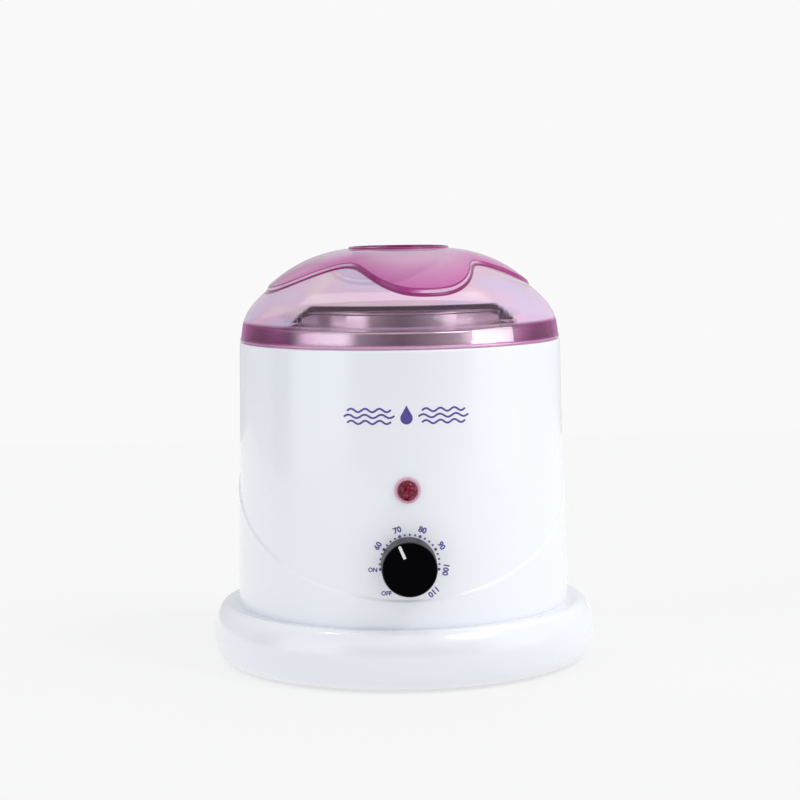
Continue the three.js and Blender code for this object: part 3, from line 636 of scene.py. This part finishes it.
def body_section(angle):
    """The body's outline at an angle: foot, outer wall with the ledge, deck with its rib, and inner wall."""
    wall = 2.5
    lip = 0.35
    top_round = 1.2
    ledge_z = ledge_height(angle)
    edge = LEDGE_WIDTH * 0.75
    stretches = (
        (BODY_Z + lip, ledge_z - edge, 10), (ledge_z - edge, ledge_z + edge, 12),
        (ledge_z + edge, DECK_Z - top_round, 12),
    )
    heights = [start + (end - start) * k / steps for start, end, steps in stretches for k in range(steps)]
    foot = BODY_FOOT_R + LEDGE
    section = [(foot - lip * (1 - math.sin(a)), BODY_Z + lip * (1 - math.cos(a)))
               for a in (math.radians(d) for d in (0, 30, 60))]
    section += [(outer_radius(angle, z), z) for z in heights]
    for degrees in range(0, 91, 15):
        a = math.radians(degrees)
        section.append((BODY_TOP_R - top_round * (1 - math.cos(a)), DECK_Z - top_round * (1 - math.sin(a))))
    rib_r = 70
    rib_half = 0.6
    rib_top = DECK_Z + 1.4
    section += soften([
        (rib_r + rib_half, DECK_Z), (rib_r + rib_half, rib_top, 0.3),
        (rib_r - rib_half, rib_top, 0.3), (rib_r - rib_half, DECK_Z),
    ], 2)
    deck_hole_r = 53.5
    deck_under = DECK_Z - 2.8
    foot_inner = BODY_FOOT_R - 1.7
    return section + [
        (deck_hole_r, DECK_Z), (deck_hole_r, deck_under), (BODY_TOP_R - wall, deck_under),
        (BODY_FOOT_R - wall - 0.2, BODY_Z + 9), (foot_inner, BODY_Z + 7), (foot_inner, BODY_Z),
    ]


def base_outline():
    """The flared base: its round outer side, the seat and spigot for the body, and its inner side."""
    outside = flowing([(r, BASE_Z + up) for r, up in (
        (84.0, 0), (86.4, 1.7), (88.2, 5.0), (BASE_R, 10.3), (BASE_R, 15.3), (88.2, 19.6), (86.6, 22.9),
        (84.8, 25.0), (82.8, 25.9), (80.8, 25.75), (79.2, 25.5), (77.0, BODY_Z - BASE_Z + 0.2),
    )])
    seat = BODY_Z - 0.12
    spigot_r, spigot_inner, spigot_top = 74.4, 73, BASE_Z + 31
    under = BASE_Z + 22.2
    wall_inner = BASE_R - 2.4
    rebate_r = 82.7
    inside = [
        (76.6, seat), (spigot_r, seat), (spigot_r, spigot_top), (spigot_inner, spigot_top),
        (spigot_inner, under), (79.2, under), (82.2, under + 1.0), (84.2, BASE_Z + 21.4),
        (wall_inner, BASE_Z + 15), (wall_inner, BASE_Z + 10.5), (rebate_r, BASE_Z + 3.2), (rebate_r, BASE_Z),
    ]
    return outside + inside


def cut_away(target, tool_shape, place):
    """Cuts a shape out of a finished mesh, for good."""
    mesh = bpy.data.meshes.new("cutter")
    mesh.from_pydata([tuple(c * MM for c in v) for v in tool_shape[0]], [], tool_shape[1])
    mesh.transform(place)
    tool = bpy.data.objects.new("cutter", mesh)
    bpy.context.collection.objects.link(tool)
    modifier = target.modifiers.new("cut", "BOOLEAN")
    modifier.operation = "DIFFERENCE"
    modifier.object = tool
    modifier.solver = "EXACT"
    bpy.context.view_layer.objects.active = target
    bpy.ops.object.select_all(action="DESELECT")
    target.select_set(True)
    bpy.ops.object.modifier_apply(modifier=modifier.name)
    bpy.data.objects.remove(tool)


def rod(r, z0, z1, segments=32):
    return revolve([(0, z0), (r, z0), (r, z1), (0, z1)], segments)


def build_housing(finish):
    shape = revolve_sections(body_section, 192)
    add_piece("body", shape, finish["white_gloss"], "housing", ["body_shell"], sharp_angle=50)
    ring = add_piece("base", revolve(base_outline(), 192), finish["white_gloss"], "housing",
                     ["base_ring"], sharp_angle=50)
    gland_z = middle("cord_gland", 2)
    gland_end = high("cord_gland", 1)
    gland_seat = gland_end - 1.6
    bore_r, shank_r, flange_r = 3.4, 4.9, 7.4
    back = Matrix.Translation((0, 0, gland_z * MM)) @ Matrix.Rotation(math.radians(-90), 4, "X")
    cut_away(ring, rod(flange_r + 0.6, gland_seat, BASE_R + 6), back)
    cut_away(ring, rod(shank_r + 0.3, 80, 90), back)
    gland = soften([
        (bore_r, 77), (shank_r, 77, 0.4), (shank_r, gland_seat + GAP), (flange_r, gland_seat + GAP, 0.3),
        (flange_r, gland_end, 0.5), (bore_r, gland_end, 0.5),
    ])
    add_piece("gland", revolve(gland, 64), finish["gland_rubber"], "housing", ["cord_gland"],
              place=back)


def build_chamber(finish):
    aluminium = finish["brushed_aluminium"]
    sheet = 0.9
    hole = 50.3
    seat = high("heating_chamber") + GAP
    under = COLLAR_TOP - sheet
    collar = soften([
        (COLLAR_R - sheet, DECK_Z + GAP), (COLLAR_R, DECK_Z + GAP), (COLLAR_R, COLLAR_TOP, 1.8),
        (hole, COLLAR_TOP, 1.0), (hole, seat), (hole + sheet, seat), (hole + sheet, under),
        (COLLAR_R - sheet, under, 0.8),
    ], 6)
    add_piece("collar", revolve(collar, 192), aluminium, "housing", ["chamber_collar"])
    cup_r = 51.1
    wall = 1.2
    flange_r = 65.5
    floor = low("heating_chamber")
    top = high("heating_chamber")
    cup = soften([
        (0, floor), (cup_r, floor, 4), (cup_r, top - wall), (flange_r, top - wall), (flange_r, top),
        (cup_r - wall, top, 0.6), (cup_r - wall, floor + wall, 3), (0, floor + wall),
    ], 6)
    add_piece("chamber", revolve(cup, 160), aluminium, "housing", ["heating_chamber"])


# ---------- print on the front ----------

def on_front(u, z, lift=0.0):
    """A point on the body's front, u to the right of its middle, lifted off the surface."""
    r = shell_radius(z)
    angle = u / r
    return around(angle, outer_radius(angle, z) + lift, z)


def ink_plate(outline, u0, z0):
    """A thin closed plate of ink with a convex outline, laid on the front round (u0, z0)."""
    verts = [on_front(u0 + u, z0 + v, lift) for lift in (INK_LOW, INK_HIGH) for u, v in outline]
    return verts, loop_faces(len(outline))


def ink_stroke(line, width, u0, z0):
    """A thin closed ribbon of ink along a line, with round ends."""
    left, right = [], []
    points = [Vector(p) for p in line]
    last = len(points) - 1
    for i, point in enumerate(points):
        along = (points[min(i + 1, last)] - points[max(i - 1, 0)]).normalized()
        across = Vector((-along.y, along.x)) * (width / 2)
        left.append(point + across)
        right.append(point - across)
    ends = []
    for tip, inner in ((points[last], points[last - 1]), (points[0], points[1])):
        out = (tip - inner).normalized()
        start = math.atan2(out.y, out.x) + math.pi / 2
        turns = [start - math.pi * k / 6 for k in range(1, 6)]
        ends.append([tip + Vector((math.cos(a), math.sin(a))) * (width / 2) for a in turns])
    outline = left + ends[0] + right[::-1] + ends[1]
    verts = [on_front(u0 + p.x, z0 + p.y, lift) for lift in (INK_LOW, INK_HIGH) for p in outline]
    count = len(outline)
    faces = loop_faces(count)[2:]
    for start, flip in ((0, True), (count, False)):
        quads = cap_of_ribbon(len(left), len(ends[0]))
        faces += [[start + n for n in (q[::-1] if flip else q)] for q in quads]
    return verts, faces


def cap_of_ribbon(rungs, cap):
    """Faces that fill a ribbon's outline: quads between its sides and a fan at each round end."""
    right_start = rungs + cap
    quads = []
    for i in range(rungs - 1):
        other = right_start + rungs - 1 - i
        quads.append([i, i + 1, other - 1, other][::-1])
    quads.append(list(range(rungs - 1, rungs + cap + 1))[::-1])
    quads.append([right_start + rungs - 1 + k for k in range(cap + 1)][::-1] + [0])
    return quads


def merge_shapes(shapes):
    verts, faces = [], []
    for more_verts, more_faces in shapes:
        start = len(verts)
        verts += more_verts
        faces += [[start + n for n in face] for face in more_faces]
    return verts, faces


def circle(r, count=16):
    return [(r * math.cos(math.tau * k / count), r * math.sin(math.tau * k / count)) for k in range(count)]


def text_shape(words, cap_height, turn, u0, z0):
    """Words as thin ink on the front, their middle at (u0, z0), turned by an angle."""
    curve = bpy.data.curves.new("words", "FONT")
    curve.body = words
    curve.align_x = "CENTER"
    curve.size = 1.0
    curve.resolution_u = 3
    curve.extrude = 0.5
    curve.offset = 0.034
    holder = bpy.data.objects.new("words", curve)
    bpy.context.collection.objects.link(holder)
    bpy.context.view_layer.update()
    mesh = bpy.data.meshes.new_from_object(holder.evaluated_get(bpy.context.evaluated_depsgraph_get()))
    tops = [v.co.y for v in mesh.vertices]
    sides = [v.co.x for v in mesh.vertices]
    scale = cap_height / (max(tops) - min(tops))
    mid_x, mid_y = (max(sides) + min(sides)) / 2, (max(tops) + min(tops)) / 2
    spin = Matrix.Rotation(turn, 2)
    verts = []
    for v in mesh.vertices:
        flat = spin @ Vector(((v.co.x - mid_x) * scale, (v.co.y - mid_y) * scale))
        verts.append(on_front(u0 + flat.x, z0 + flat.y, INK_HIGH if v.co.z > 0 else INK_LOW))
    faces = [list(p.vertices) for p in mesh.polygons]
    bpy.data.objects.remove(holder)
    bpy.data.curves.remove(curve)
    bpy.data.meshes.remove(mesh)
    return verts, faces


def on_dial(r_across, r_up, degrees):
    angle = math.radians(degrees)
    return PRINT_SHIFT + r_across * math.cos(angle), KNOB_Z + r_up * math.sin(angle)


def dial_print():
    """The dots and numbers of the dial, and the words beside its start."""
    shapes = []
    for step in range(5 * DOTS_PER_STEP + 1):
        degrees = DIAL_START - DIAL_STEP * step / DOTS_PER_STEP
        dot = circle(0.46 if step % DOTS_PER_STEP else 0.66)
        shapes.append(ink_plate(dot, *on_dial(DIAL_R, DIAL_R, degrees)))
    for step, words in enumerate(DIAL_NUMBERS, 1):
        degrees = DIAL_START - DIAL_STEP * step
        turn = math.radians(degrees) - math.pi / 2
        shapes.append(text_shape(words, NUMBER_HEIGHT, turn, *on_dial(LABEL_R, LABEL_R, degrees)))
    for words, degrees in (("ON", 188), ("OFF", 231)):
        shapes.append(text_shape(words, WORD_HEIGHT, 0, *on_dial(LABEL_R * 1.02, LABEL_R, degrees)))
    shapes.append(text_shape("\u00b0C", 1.9, 0, PRINT_SHIFT - 0.2, KNOB_Z - 13.6))
    return merge_shapes(shapes)


def wave(length, swing, turns):
    """A wavy line along u."""
    steps = 12 * turns
    shares = [k / steps for k in range(steps + 1)]
    return [(length * (share - 0.5), swing * math.sin(math.tau * turns * share)) for share in shares]


def drop_outline(r, tip):
    """A drop with a round foot and a pointed top."""
    foot = [(r * math.cos(a), r * math.sin(a)) for a in (math.radians(150 + 12 * k) for k in range(21))]
    return foot + [(r * 0.52, r * 1.1), (0, tip), (-r * 0.52, r * 1.1)]


def front_mark():
    """A plain mark of flowing wax: a drop between short wavy lines."""
    z = BASE_Z + 119
    shapes = [ink_plate(drop_outline(2.7, 5.6), 0, z - 0.9)]
    for side in (-1, 1):
        for row, length in ((2.6, 19), (0, 22), (-2.6, 19)):
            shapes.append(ink_stroke(wave(length, 0.75, 3), 0.85, side * 16.5, z + row))
    return merge_shapes(shapes)


def build_print(finish):
    add_piece("dial_print", dial_print(), finish["printed_ink"], "housing")
    add_piece("front_mark", front_mark(), finish["printed_ink"], "housing")


# ---------- knob and lamp ----------

def build_knob(finish):
    """The hollow knob, its front face painted darker as shade, and the white line set in it."""
    place = facing_front(KNOB_Z)
    front_r = KNOB_R - 0.2
    hollow_r = 9.8
    hollow_end = KNOB_BACK + 4.6
    outline = soften([
        (0, hollow_end), (hollow_r, hollow_end, 0.4), (hollow_r, KNOB_BACK), (KNOB_R, KNOB_BACK, 0.25),
        (front_r, KNOB_FRONT, 0.9), (0, KNOB_FRONT),
    ], 6)
    cap = add_piece("knob_cap", revolve(outline, 160), finish["knob_black"], "knob", ["knob"],
                    place=place)
    # Faces that look to the front take the darker copy: painted shade.
    cap.data.materials.append(finish["knob_face"])
    for polygon in cap.data.polygons:
        polygon.material_index = int(polygon.normal.y < -0.9)
    inner, outer, half = 5.2, 11.3, 0.65
    ends = [(outer - half + half * math.cos(a), half * math.sin(a)) for a in
            (math.radians(-90 + 15 * k) for k in range(13))]
    flat = [(inner, -half), *ends, (inner, half)]
    spin = Matrix.Rotation(math.radians(POINTER_ANGLE), 2)
    flat = [spin @ Vector(p) for p in flat]
    verts = [(p.x, p.y, z) for z in (KNOB_FRONT - 0.5, KNOB_FRONT + 0.06) for p in flat]
    add_piece("pointer", (verts, loop_faces(len(flat))), finish["pointer_white"], "knob",
              ["knob_pointer"], place=place)


def faceted_dome():
    """The cut-gem front of the pilot lamp: rings of points, each turned by half a step from the last."""
    rings = ((4.3, -9.0), (4.3, 1.6), (4.1, 2.3), (3.2, 3.1), (1.9, 3.7))
    sides = 16
    verts, faces = [], []
    for level, (r, up) in enumerate(rings):
        turn = 0.5 * max(level - 2, 0)
        verts += [around(math.tau * (k + turn) / sides, r, LAMP_FACE + up) for k in range(sides)]
    for level in range(len(rings) - 1):
        for k in range(sides):
            n = (k + 1) % sides
            a, b = level * sides + k, level * sides + n
            c, d = a + sides, b + sides
            faces += [[a, b, d, c]] if level < 2 else [[a, b, c], [b, d, c]]
    top = len(verts)
    verts.append((0, 0, LAMP_FACE + 4.1))
    start = (len(rings) - 1) * sides
    faces += [[start + k, start + (k + 1) % sides, top] for k in range(sides)]
    faces.append(list(range(sides))[::-1])
    return verts, faces


def build_lamp(finish):
    place = facing_front(LAMP_Z)
    add_piece("lamp_lens", faceted_dome(), finish["lamp_red"], "housing", ["indicator_lens"],
              place=place, sharp_angle=5)
    inner = 4.5
    flange = soften([
        (inner, LAMP_FACE + 0.1), (LAMP_FLANGE_R, LAMP_FACE + 0.1), (LAMP_FLANGE_R, LAMP_FACE + 1.2, 0.5),
        (inner, LAMP_FACE + 1.5, 0.3),
    ], 5)
    add_piece("lamp_flange", revolve(flange, 96), finish["lamp_flange"], "housing", place=place)


# ---------- pot ----------

def build_pot(finish):
    aluminium = finish["brushed_aluminium"]
    inner = POT_R - POT_WALL
    floor_top = POT_FLOOR + POT_WALL
    rim_z = POT_TOP - BEAD_R
    outline = soften([(0, POT_FLOOR), (POT_R, POT_FLOOR, 4), (POT_R, (rim_z + POT_FLOOR) / 2)], 8)
    for degrees in range(-120, 141, 20):
        a = math.radians(degrees)
        outline.append((POT_R + 0.5 + BEAD_R * math.cos(a), rim_z + BEAD_R * math.sin(a)))
    outline += soften([(inner, rim_z - 0.6), (inner, floor_top, 3), (0, floor_top)], 8)
    add_piece("pot", revolve(outline, 192), aluminium, "pot", ["wax_pot"])
    for label, side in (("left", -1), ("right", 1)):
        add_ear(label, side, finish["zinc_steel"])
        for place, end in (("front", -1), ("rear", 1)):
            add_rivet(label, place, side, end, finish["zinc_steel"])
    add_piece("bail", bail_shape(), finish["bail_steel"], "bail", ["bail_wire"])


def sideways(side, y, z):
    """Turns a shape made round Z so that its top looks to +X or -X."""
    turn = Matrix.Rotation(math.radians(90 * side), 4, "Y")
    return Matrix.Translation((0, y * MM, z * MM)) @ turn


def add_ear(label, side, finish):
    """An ear of the pot: a plate with round ends, and a boss that takes an end of the bail."""
    node = f"pot_ear_{label}"
    z = middle(node, 2)
    inside = min(abs(low(node, 0)), abs(high(node, 0)))
    outside = max(abs(low(node, 0)), abs(high(node, 0)))
    half_length, half_height, sheet = 8.5, 2.4, 0.9
    corner = half_height * 0.9
    rounded = []
    for middle_of_end, start in ((half_length - corner, -90), (corner - half_length, 90)):
        for k in range(9):
            a = math.radians(start + 22.5 * k)
            rounded.append((middle_of_end + corner * math.cos(a), half_height * math.sin(a)))
    verts = [(across, along, h) for h in (inside, inside + sheet) for along, across in rounded]
    plate = (verts, loop_faces(len(rounded)))
    bore_r, boss_r = 1.6, 2.7
    bore_end, boss_end = inside + 1.8, inside + 0.4
    # The first corner only shapes the round of the mouth, so the bore is drawn without its wall.
    boss = revolve(soften([
        (bore_r, bore_end), (0, bore_end), (0, boss_end), (boss_r, boss_end), (boss_r, outside, 0.7),
        (bore_r, outside, 0.3),
    ], 4)[1:], 48)
    add_piece(f"ear_{label}", merge_shapes([plate, boss]), finish, "pot", [node],
              place=sideways(side, 0, z))


def add_rivet(label, place, side, end, finish):
    node = f"ear_rivet_{label}_{place}"
    head_r, shank_r = 1.8, 0.9
    tail, inner_head, outer_head, tip = 44.4, 45.2, 49, 49.8
    outline = soften([
        (0, tail), (head_r, tail, 0.5), (head_r, inner_head), (shank_r, inner_head),
        (shank_r, outer_head), (head_r, outer_head), (head_r, tip, 0.7), (0, tip),
    ], 5)
    add_piece(f"rivet_{label}_{place}", revolve(outline, 32), finish, "pot", [node],
              place=sideways(side, end * abs(middle(node, 1)), middle(node, 2)))


def bail_shape():
    """The wire from one ear out to its shoulder, forward over the rim and back to the other ear."""
    pivot_z = middle("pot_ear_left", 2)
    shoulder = radius("bail_wire") - BAIL_WIRE_R + 0.85
    front = low("bail_wire", 1) + BAIL_WIRE_R
    lift = high("bail_wire") - BAIL_WIRE_R
    lean = (lift - pivot_z) / -front

    def at(x, y):
        return Vector((x, y, pivot_z - y * lean))

    end, turn, corner, top = at(50.5, 0), at(shoulder, 0), at(40.4, front), at(0, front)
    half = [end, *bend(end, turn, corner, 2.2), *bend(turn, corner, top, 5)]
    mirrored = [Vector((-p.x, p.y, p.z)) for p in half][::-1]
    return sweep(half + mirrored, BAIL_WIRE_R, 24)


# ---------- lid ----------

def dome_height(r):
    return SKIRT_TOP_Z + 0.2 + DOME_HEIGHT * (1 - (r / DOME_R) ** 2) ** DOME_POWER


def grip_foot(angle):
    """Foot of the raised grip: four broad lobes with narrow valleys between them."""
    lobe = 1 - abs(math.sin(2 * (angle - GRIP_TURN))) ** GRIP_SHARPNESS
    return GRIP_VALLEY_R + (GRIP_TIP_R - GRIP_VALLEY_R) * lobe


def lid_skirt():
    """The lower bead and the upright skirt, as (radius, height, tint, milk, side)."""
    foot_r = LID_R - 0.4
    rows = [
        (LID_R - 0.3, LID_LOW, 0.2, 0.5, 0.3), (LID_R, LID_LOW + 0.25, 0.2, 0.5, 0.3),
        (LID_R, LID_LOW + 0.9, 0.2, 0.5, 0.3), (LID_R - 0.35, LID_LOW + 1.2, 0.5, 0.3, 0.6),
    ]
    for k in range(6):
        share = k / 5
        r = foot_r + (SKIRT_TOP_R - foot_r) * share
        rows.append((r, LID_LOW + 1.5 + (SKIRT_TOP_Z - LID_LOW - 1.7) * share, 0.12, 0.05, 1.0))
    rows.append((SKIRT_TOP_R - 0.05, SKIRT_TOP_Z, 0.45, 0.3, 0.8))
    return rows


def lid_dome(angle, foot):
    """The dome from the skirt to the foot of the grip, with a clear window low at its front and rear."""
    edge = DOME_R - 0.1
    rows = [(edge, dome_height(edge), 0.14, 0.3, 0.3)]
    off_middle = min(abs(math.remainder(angle, math.pi)), math.pi / 2)
    radii = [edge - 0.2 - 0.8 * k for k in range(7)]
    radii += [WINDOW_R - WINDOW_FADE * k / 4 for k in range(5)]
    start = radii[-1]
    radii += [start + (foot + 1.2 - start) * k / 10 for k in range(1, 11)]
    for r in radii:
        above = smooth_share((WINDOW_R - r) / WINDOW_FADE)
        half = WINDOW_HALF - WINDOW_LEAN * (edge - r) / (edge - WINDOW_R)
        beside = smooth_share((off_middle - half) / WINDOW_EDGE)
        haze = max(above, beside)
        rows.append((r, dome_height(r), 0.17 - 0.03 * haze, 0.02 + HAZE * haze, 0.0))
    return rows


def lid_grip(angle, foot):
    """The raised grip: the dark line at its foot, its flank, its edge line, its top and the hole's lip.

    The dark lines at its foot, along its edge and on the lip are painted shade. One side of each
    lobe's flank is painted dark where refraction darkens it, and the other side keeps its pale colour.
    """
    # The second and third rows colour a dark line at the foot of the grip: painted shade.
    rows = [(foot + out, dome_height(foot + out), tint_and_shade, milk, 0.0) for out, tint_and_shade, milk in
            ((1.0, 0.14, 0.6), (0.75, 0.95, 0.93), (0.45, 1.0, 0.97))]
    # Painted shade on one side of each lobe's flank, where refraction darkens it.
    shaded_side = smooth_share(-math.sin(4 * (angle - GRIP_TURN)) * 1.6)
    steps = 12
    for k in range(steps + 1):
        share = k / steps
        r = foot - GRIP_FLANK * share
        # Painted shade lines at the foot and at the top edge of the flank.
        foot_shade_line = 1 - smooth_share((share - 0.25) / 0.2)
        edge_shade_line = smooth_share((share - 0.7) / 0.15)
        line = max(foot_shade_line, 0.85 * edge_shade_line, 0.7 * shaded_side)
        z = dome_height(r) + GRIP_STEP * smooth_share(share)
        rows.append((r, z, 0.20 + 0.80 * line, 0.55 + 0.40 * line, 0.0))
    top = foot - GRIP_FLANK - 0.3
    rows.append((top, dome_height(top) + GRIP_STEP, 0.85, 0.9, 0.0))
    top -= 0.3
    lip_foot = LID_HOLE_R + LIP_WIDTH
    steps = 18
    for k in range(steps + 1):
        share = k / steps
        r = top + (lip_foot - top) * share
        z = dome_height(r) + GRIP_STEP + GRIP_BULGE * 4 * share * (1 - share)
        rows.append((r, z, 0.52 - 0.32 * share ** 0.8, 0.80 - 0.14 * share, 0.0))
    # The lip round the hole is coloured dark: painted shade.
    lip_top = dome_height(LID_HOLE_R) + GRIP_STEP + LIP_HEIGHT
    for degrees in range(30, 181, 30):
        a = math.radians(degrees)
        r = LID_HOLE_R + LIP_WIDTH / 2 * (1 + math.cos(a))
        rows.append((r, lip_top - LIP_HEIGHT * (1 - math.sin(a)), 0.95, 0.92, 0.0))
    return rows


def lid_inside():
    """The smooth inner side, from the hole down to the rim."""
    rows = [(LID_HOLE_R, dome_height(LID_HOLE_R) - LID_WALL, 0.7, 0.7, 0.0)]
    inner_edge = 69
    for k in range(1, 19):
        r = LID_HOLE_R + (inner_edge - LID_HOLE_R) * k / 18
        rows.append((r, dome_height(r) - LID_WALL * (1 + (r / DOME_R) ** 4), 0.08, 0.06, 0.0))
    rows.append((SKIRT_TOP_R - LID_WALL, SKIRT_TOP_Z - 1.5, 0.12, 0.05, 0.5))
    rows.append((LID_R - 0.4 - LID_WALL, LID_LOW, 0.12, 0.05, 1.0))
    return rows


def lid_section(angle):
    foot = grip_foot(angle)
    return lid_skirt() + lid_dome(angle, foot) + lid_grip(angle, foot) + lid_inside()


def build_lid(finish):
    verts, faces, sections = revolve_sections(lid_section, 256)
    lid = add_piece("lid_shell", (verts, faces), finish["lid_pink_clear"], "lid", ["lid"],
                    sharp_angle=60)
    for column, name in ((2, "tint_and_shade"), (3, "milk"), (4, "side")):
        layer = lid.data.attributes.new(name, "FLOAT", "POINT")
        layer.data.foreach_set("value", [point[column] for section in sections for point in section])


# ---------- carried-over CAD nodes ----------

def paint_frame(finish):
    slots = {row["node"]: row["material_slot"] for row in frame["record"]["subparts"]}
    for name, node in frame["nodes"].items():
        node.data.materials.clear()
        node.data.materials.append(finish[slots[name]])


# ---------- studio ----------

def build_floor():
    """A pale floor that glows a little, as a light table does, so that shadows on it stay faint."""
    mesh = bpy.data.meshes.new("floor")
    half = FLOOR_HALF_M
    corners = [(-half, -half, 0), (half, -half, 0), (half, half, 0), (-half, half, 0)]
    mesh.from_pydata(corners, [], [[0, 1, 2, 3]])
    floor = bpy.data.objects.new("floor", mesh)
    bpy.context.collection.objects.link(floor)
    made, graph = material("floor_paper")
    paper = graph.add("ShaderNodeBsdfDiffuse", {"Color": (FLOOR_DIFFUSE, FLOOR_DIFFUSE, FLOOR_DIFFUSE, 1.0)})
    glow = graph.add("ShaderNodeEmission", {"Strength": FLOOR_GLOW})
    both = graph.add("ShaderNodeAddShader", {0: paper.outputs[0], 1: glow.outputs[0]})
    finish_material(graph, both.outputs[0])
    mesh.materials.append(made)


def build_world():
    """Soft panels round the object: degrees from the front, positive to the right, with their brightness."""
    world = bpy.data.worlds.new("studio")
    bpy.context.scene.world = world
    world.use_nodes = True
    graph = Graph(world.node_tree)
    direction = graph.add("ShaderNodeTexCoord").outputs["Generated"]
    axes = graph.add("ShaderNodeSeparateXYZ", {"Vector": direction}).outputs
    turn = graph.math("ARCTAN2", axes["X"], graph.math("MULTIPLY", axes["Y"], -1.0))
    share = graph.span(turn, 0.0, 1.0, -math.pi, math.pi)
    stops = []
    for degrees, brightness in PANELS:
        light = brightness / WORLD_STRENGTH
        blue = 0.06 if degrees < 40 else 0.03
        stops.append((0.5 + degrees / 360, (light * (1 - blue), light * (1 - blue / 2), light)))
    walls = graph.ramp(share, stops)
    above = ABOVE / WORLD_STRENGTH
    light = graph.blend(graph.span(axes["Z"], 0.0, 1.0, 0.3, 0.75), walls, (above, above, above))
    backdrop = BACKDROP / WORLD_STRENGTH
    to_camera = graph.add("ShaderNodeLightPath").outputs["Is Camera Ray"]
    seen = graph.blend(to_camera, light, (backdrop, backdrop, backdrop))
    background = graph.add("ShaderNodeBackground", {"Color": seen, "Strength": WORLD_STRENGTH})
    graph.add("ShaderNodeOutputWorld", {"Surface": background.outputs[0]})


def add_light(name, kind, place, target, power, **settings):
    """A light aimed at a point. Its place and its target are in metres."""
    data = bpy.data.lights.new(name, kind)
    data.energy = power
    for key, value in settings.items():
        setattr(data, key, value)
    lamp = bpy.data.objects.new(name, data)
    bpy.context.collection.objects.link(lamp)
    lamp.location = place
    lamp.rotation_euler = (Vector(target) - Vector(place)).to_track_quat("-Z", "Y").to_euler()
    return lamp


def add_panel(name, place, target, power, width, height, only):
    """A lit panel that falls on the named pieces and on nothing else."""
    lamp = add_light(name, "AREA", place, target, power, shape="RECTANGLE", size=width, size_y=height)
    group = bpy.data.collections.new(f"{name}_receivers")
    for piece in only:
        group.objects.link(bpy.data.objects[piece])
    lamp.light_linking.receiver_collection = group
    return lamp


def build_lights():
    middle_of_body = (0, 0, 0.1)
    low_front = add_panel("low_front", (0.08, -0.32, 0.07), (0, -0.08, 0.02), 0.08, 0.40, 0.05, ["body"])
    low_front.visible_glossy = False
    add_light("key", "SUN", (1.2, -0.9, 2.0), middle_of_body, 0.50, angle=math.radians(24))
    add_panel("top_right", (0.60, 0.12, 0.85), middle_of_body, 1.8, 0.50, 0.24, ["body", "base"])
    add_panel("top_left", (-0.45, -0.03, 0.95), middle_of_body, 0.3, 0.12, 0.08, ["body", "base"])
    add_panel("lid_window", (1.40, -0.56, 0.26), (0, 0, 0.155), 9.0, 0.95, 0.50, ["lid_shell"])


def build_camera():
    camera = bpy.data.objects.new("camera", bpy.data.cameras.new("camera"))
    bpy.context.collection.objects.link(camera)
    camera.data.lens = CAMERA_LENS
    camera.data.sensor_width = 36
    camera.data.clip_end = 100
    side, pitch = CAMERA_SIDE_ANGLE, CAMERA_PITCH
    away = CAMERA_DISTANCE * MM
    camera.location = (away * math.sin(side), -away * math.cos(side), CAMERA_HEIGHT * MM)
    heading = side + CAMERA_YAW
    look = Vector((-math.sin(heading) * math.cos(pitch), math.cos(heading) * math.cos(pitch),
                   math.sin(pitch)))
    level = look.to_track_quat("-Z", "Y").to_matrix()
    camera.rotation_euler = (level @ Matrix.Rotation(CAMERA_ROLL, 3, "Z")).to_euler()
    bpy.context.scene.camera = camera


def main():
    finish = make_materials()
    build_camera()
    build_floor()
    build_world()
    bpy.context.scene.view_settings.view_transform = "Standard"
    paint_frame(finish)
    build_housing(finish)
    build_chamber(finish)
    build_print(finish)
    build_knob(finish)
    build_lamp(finish)
    build_pot(finish)
    build_lid(finish)
    build_lights()


main()
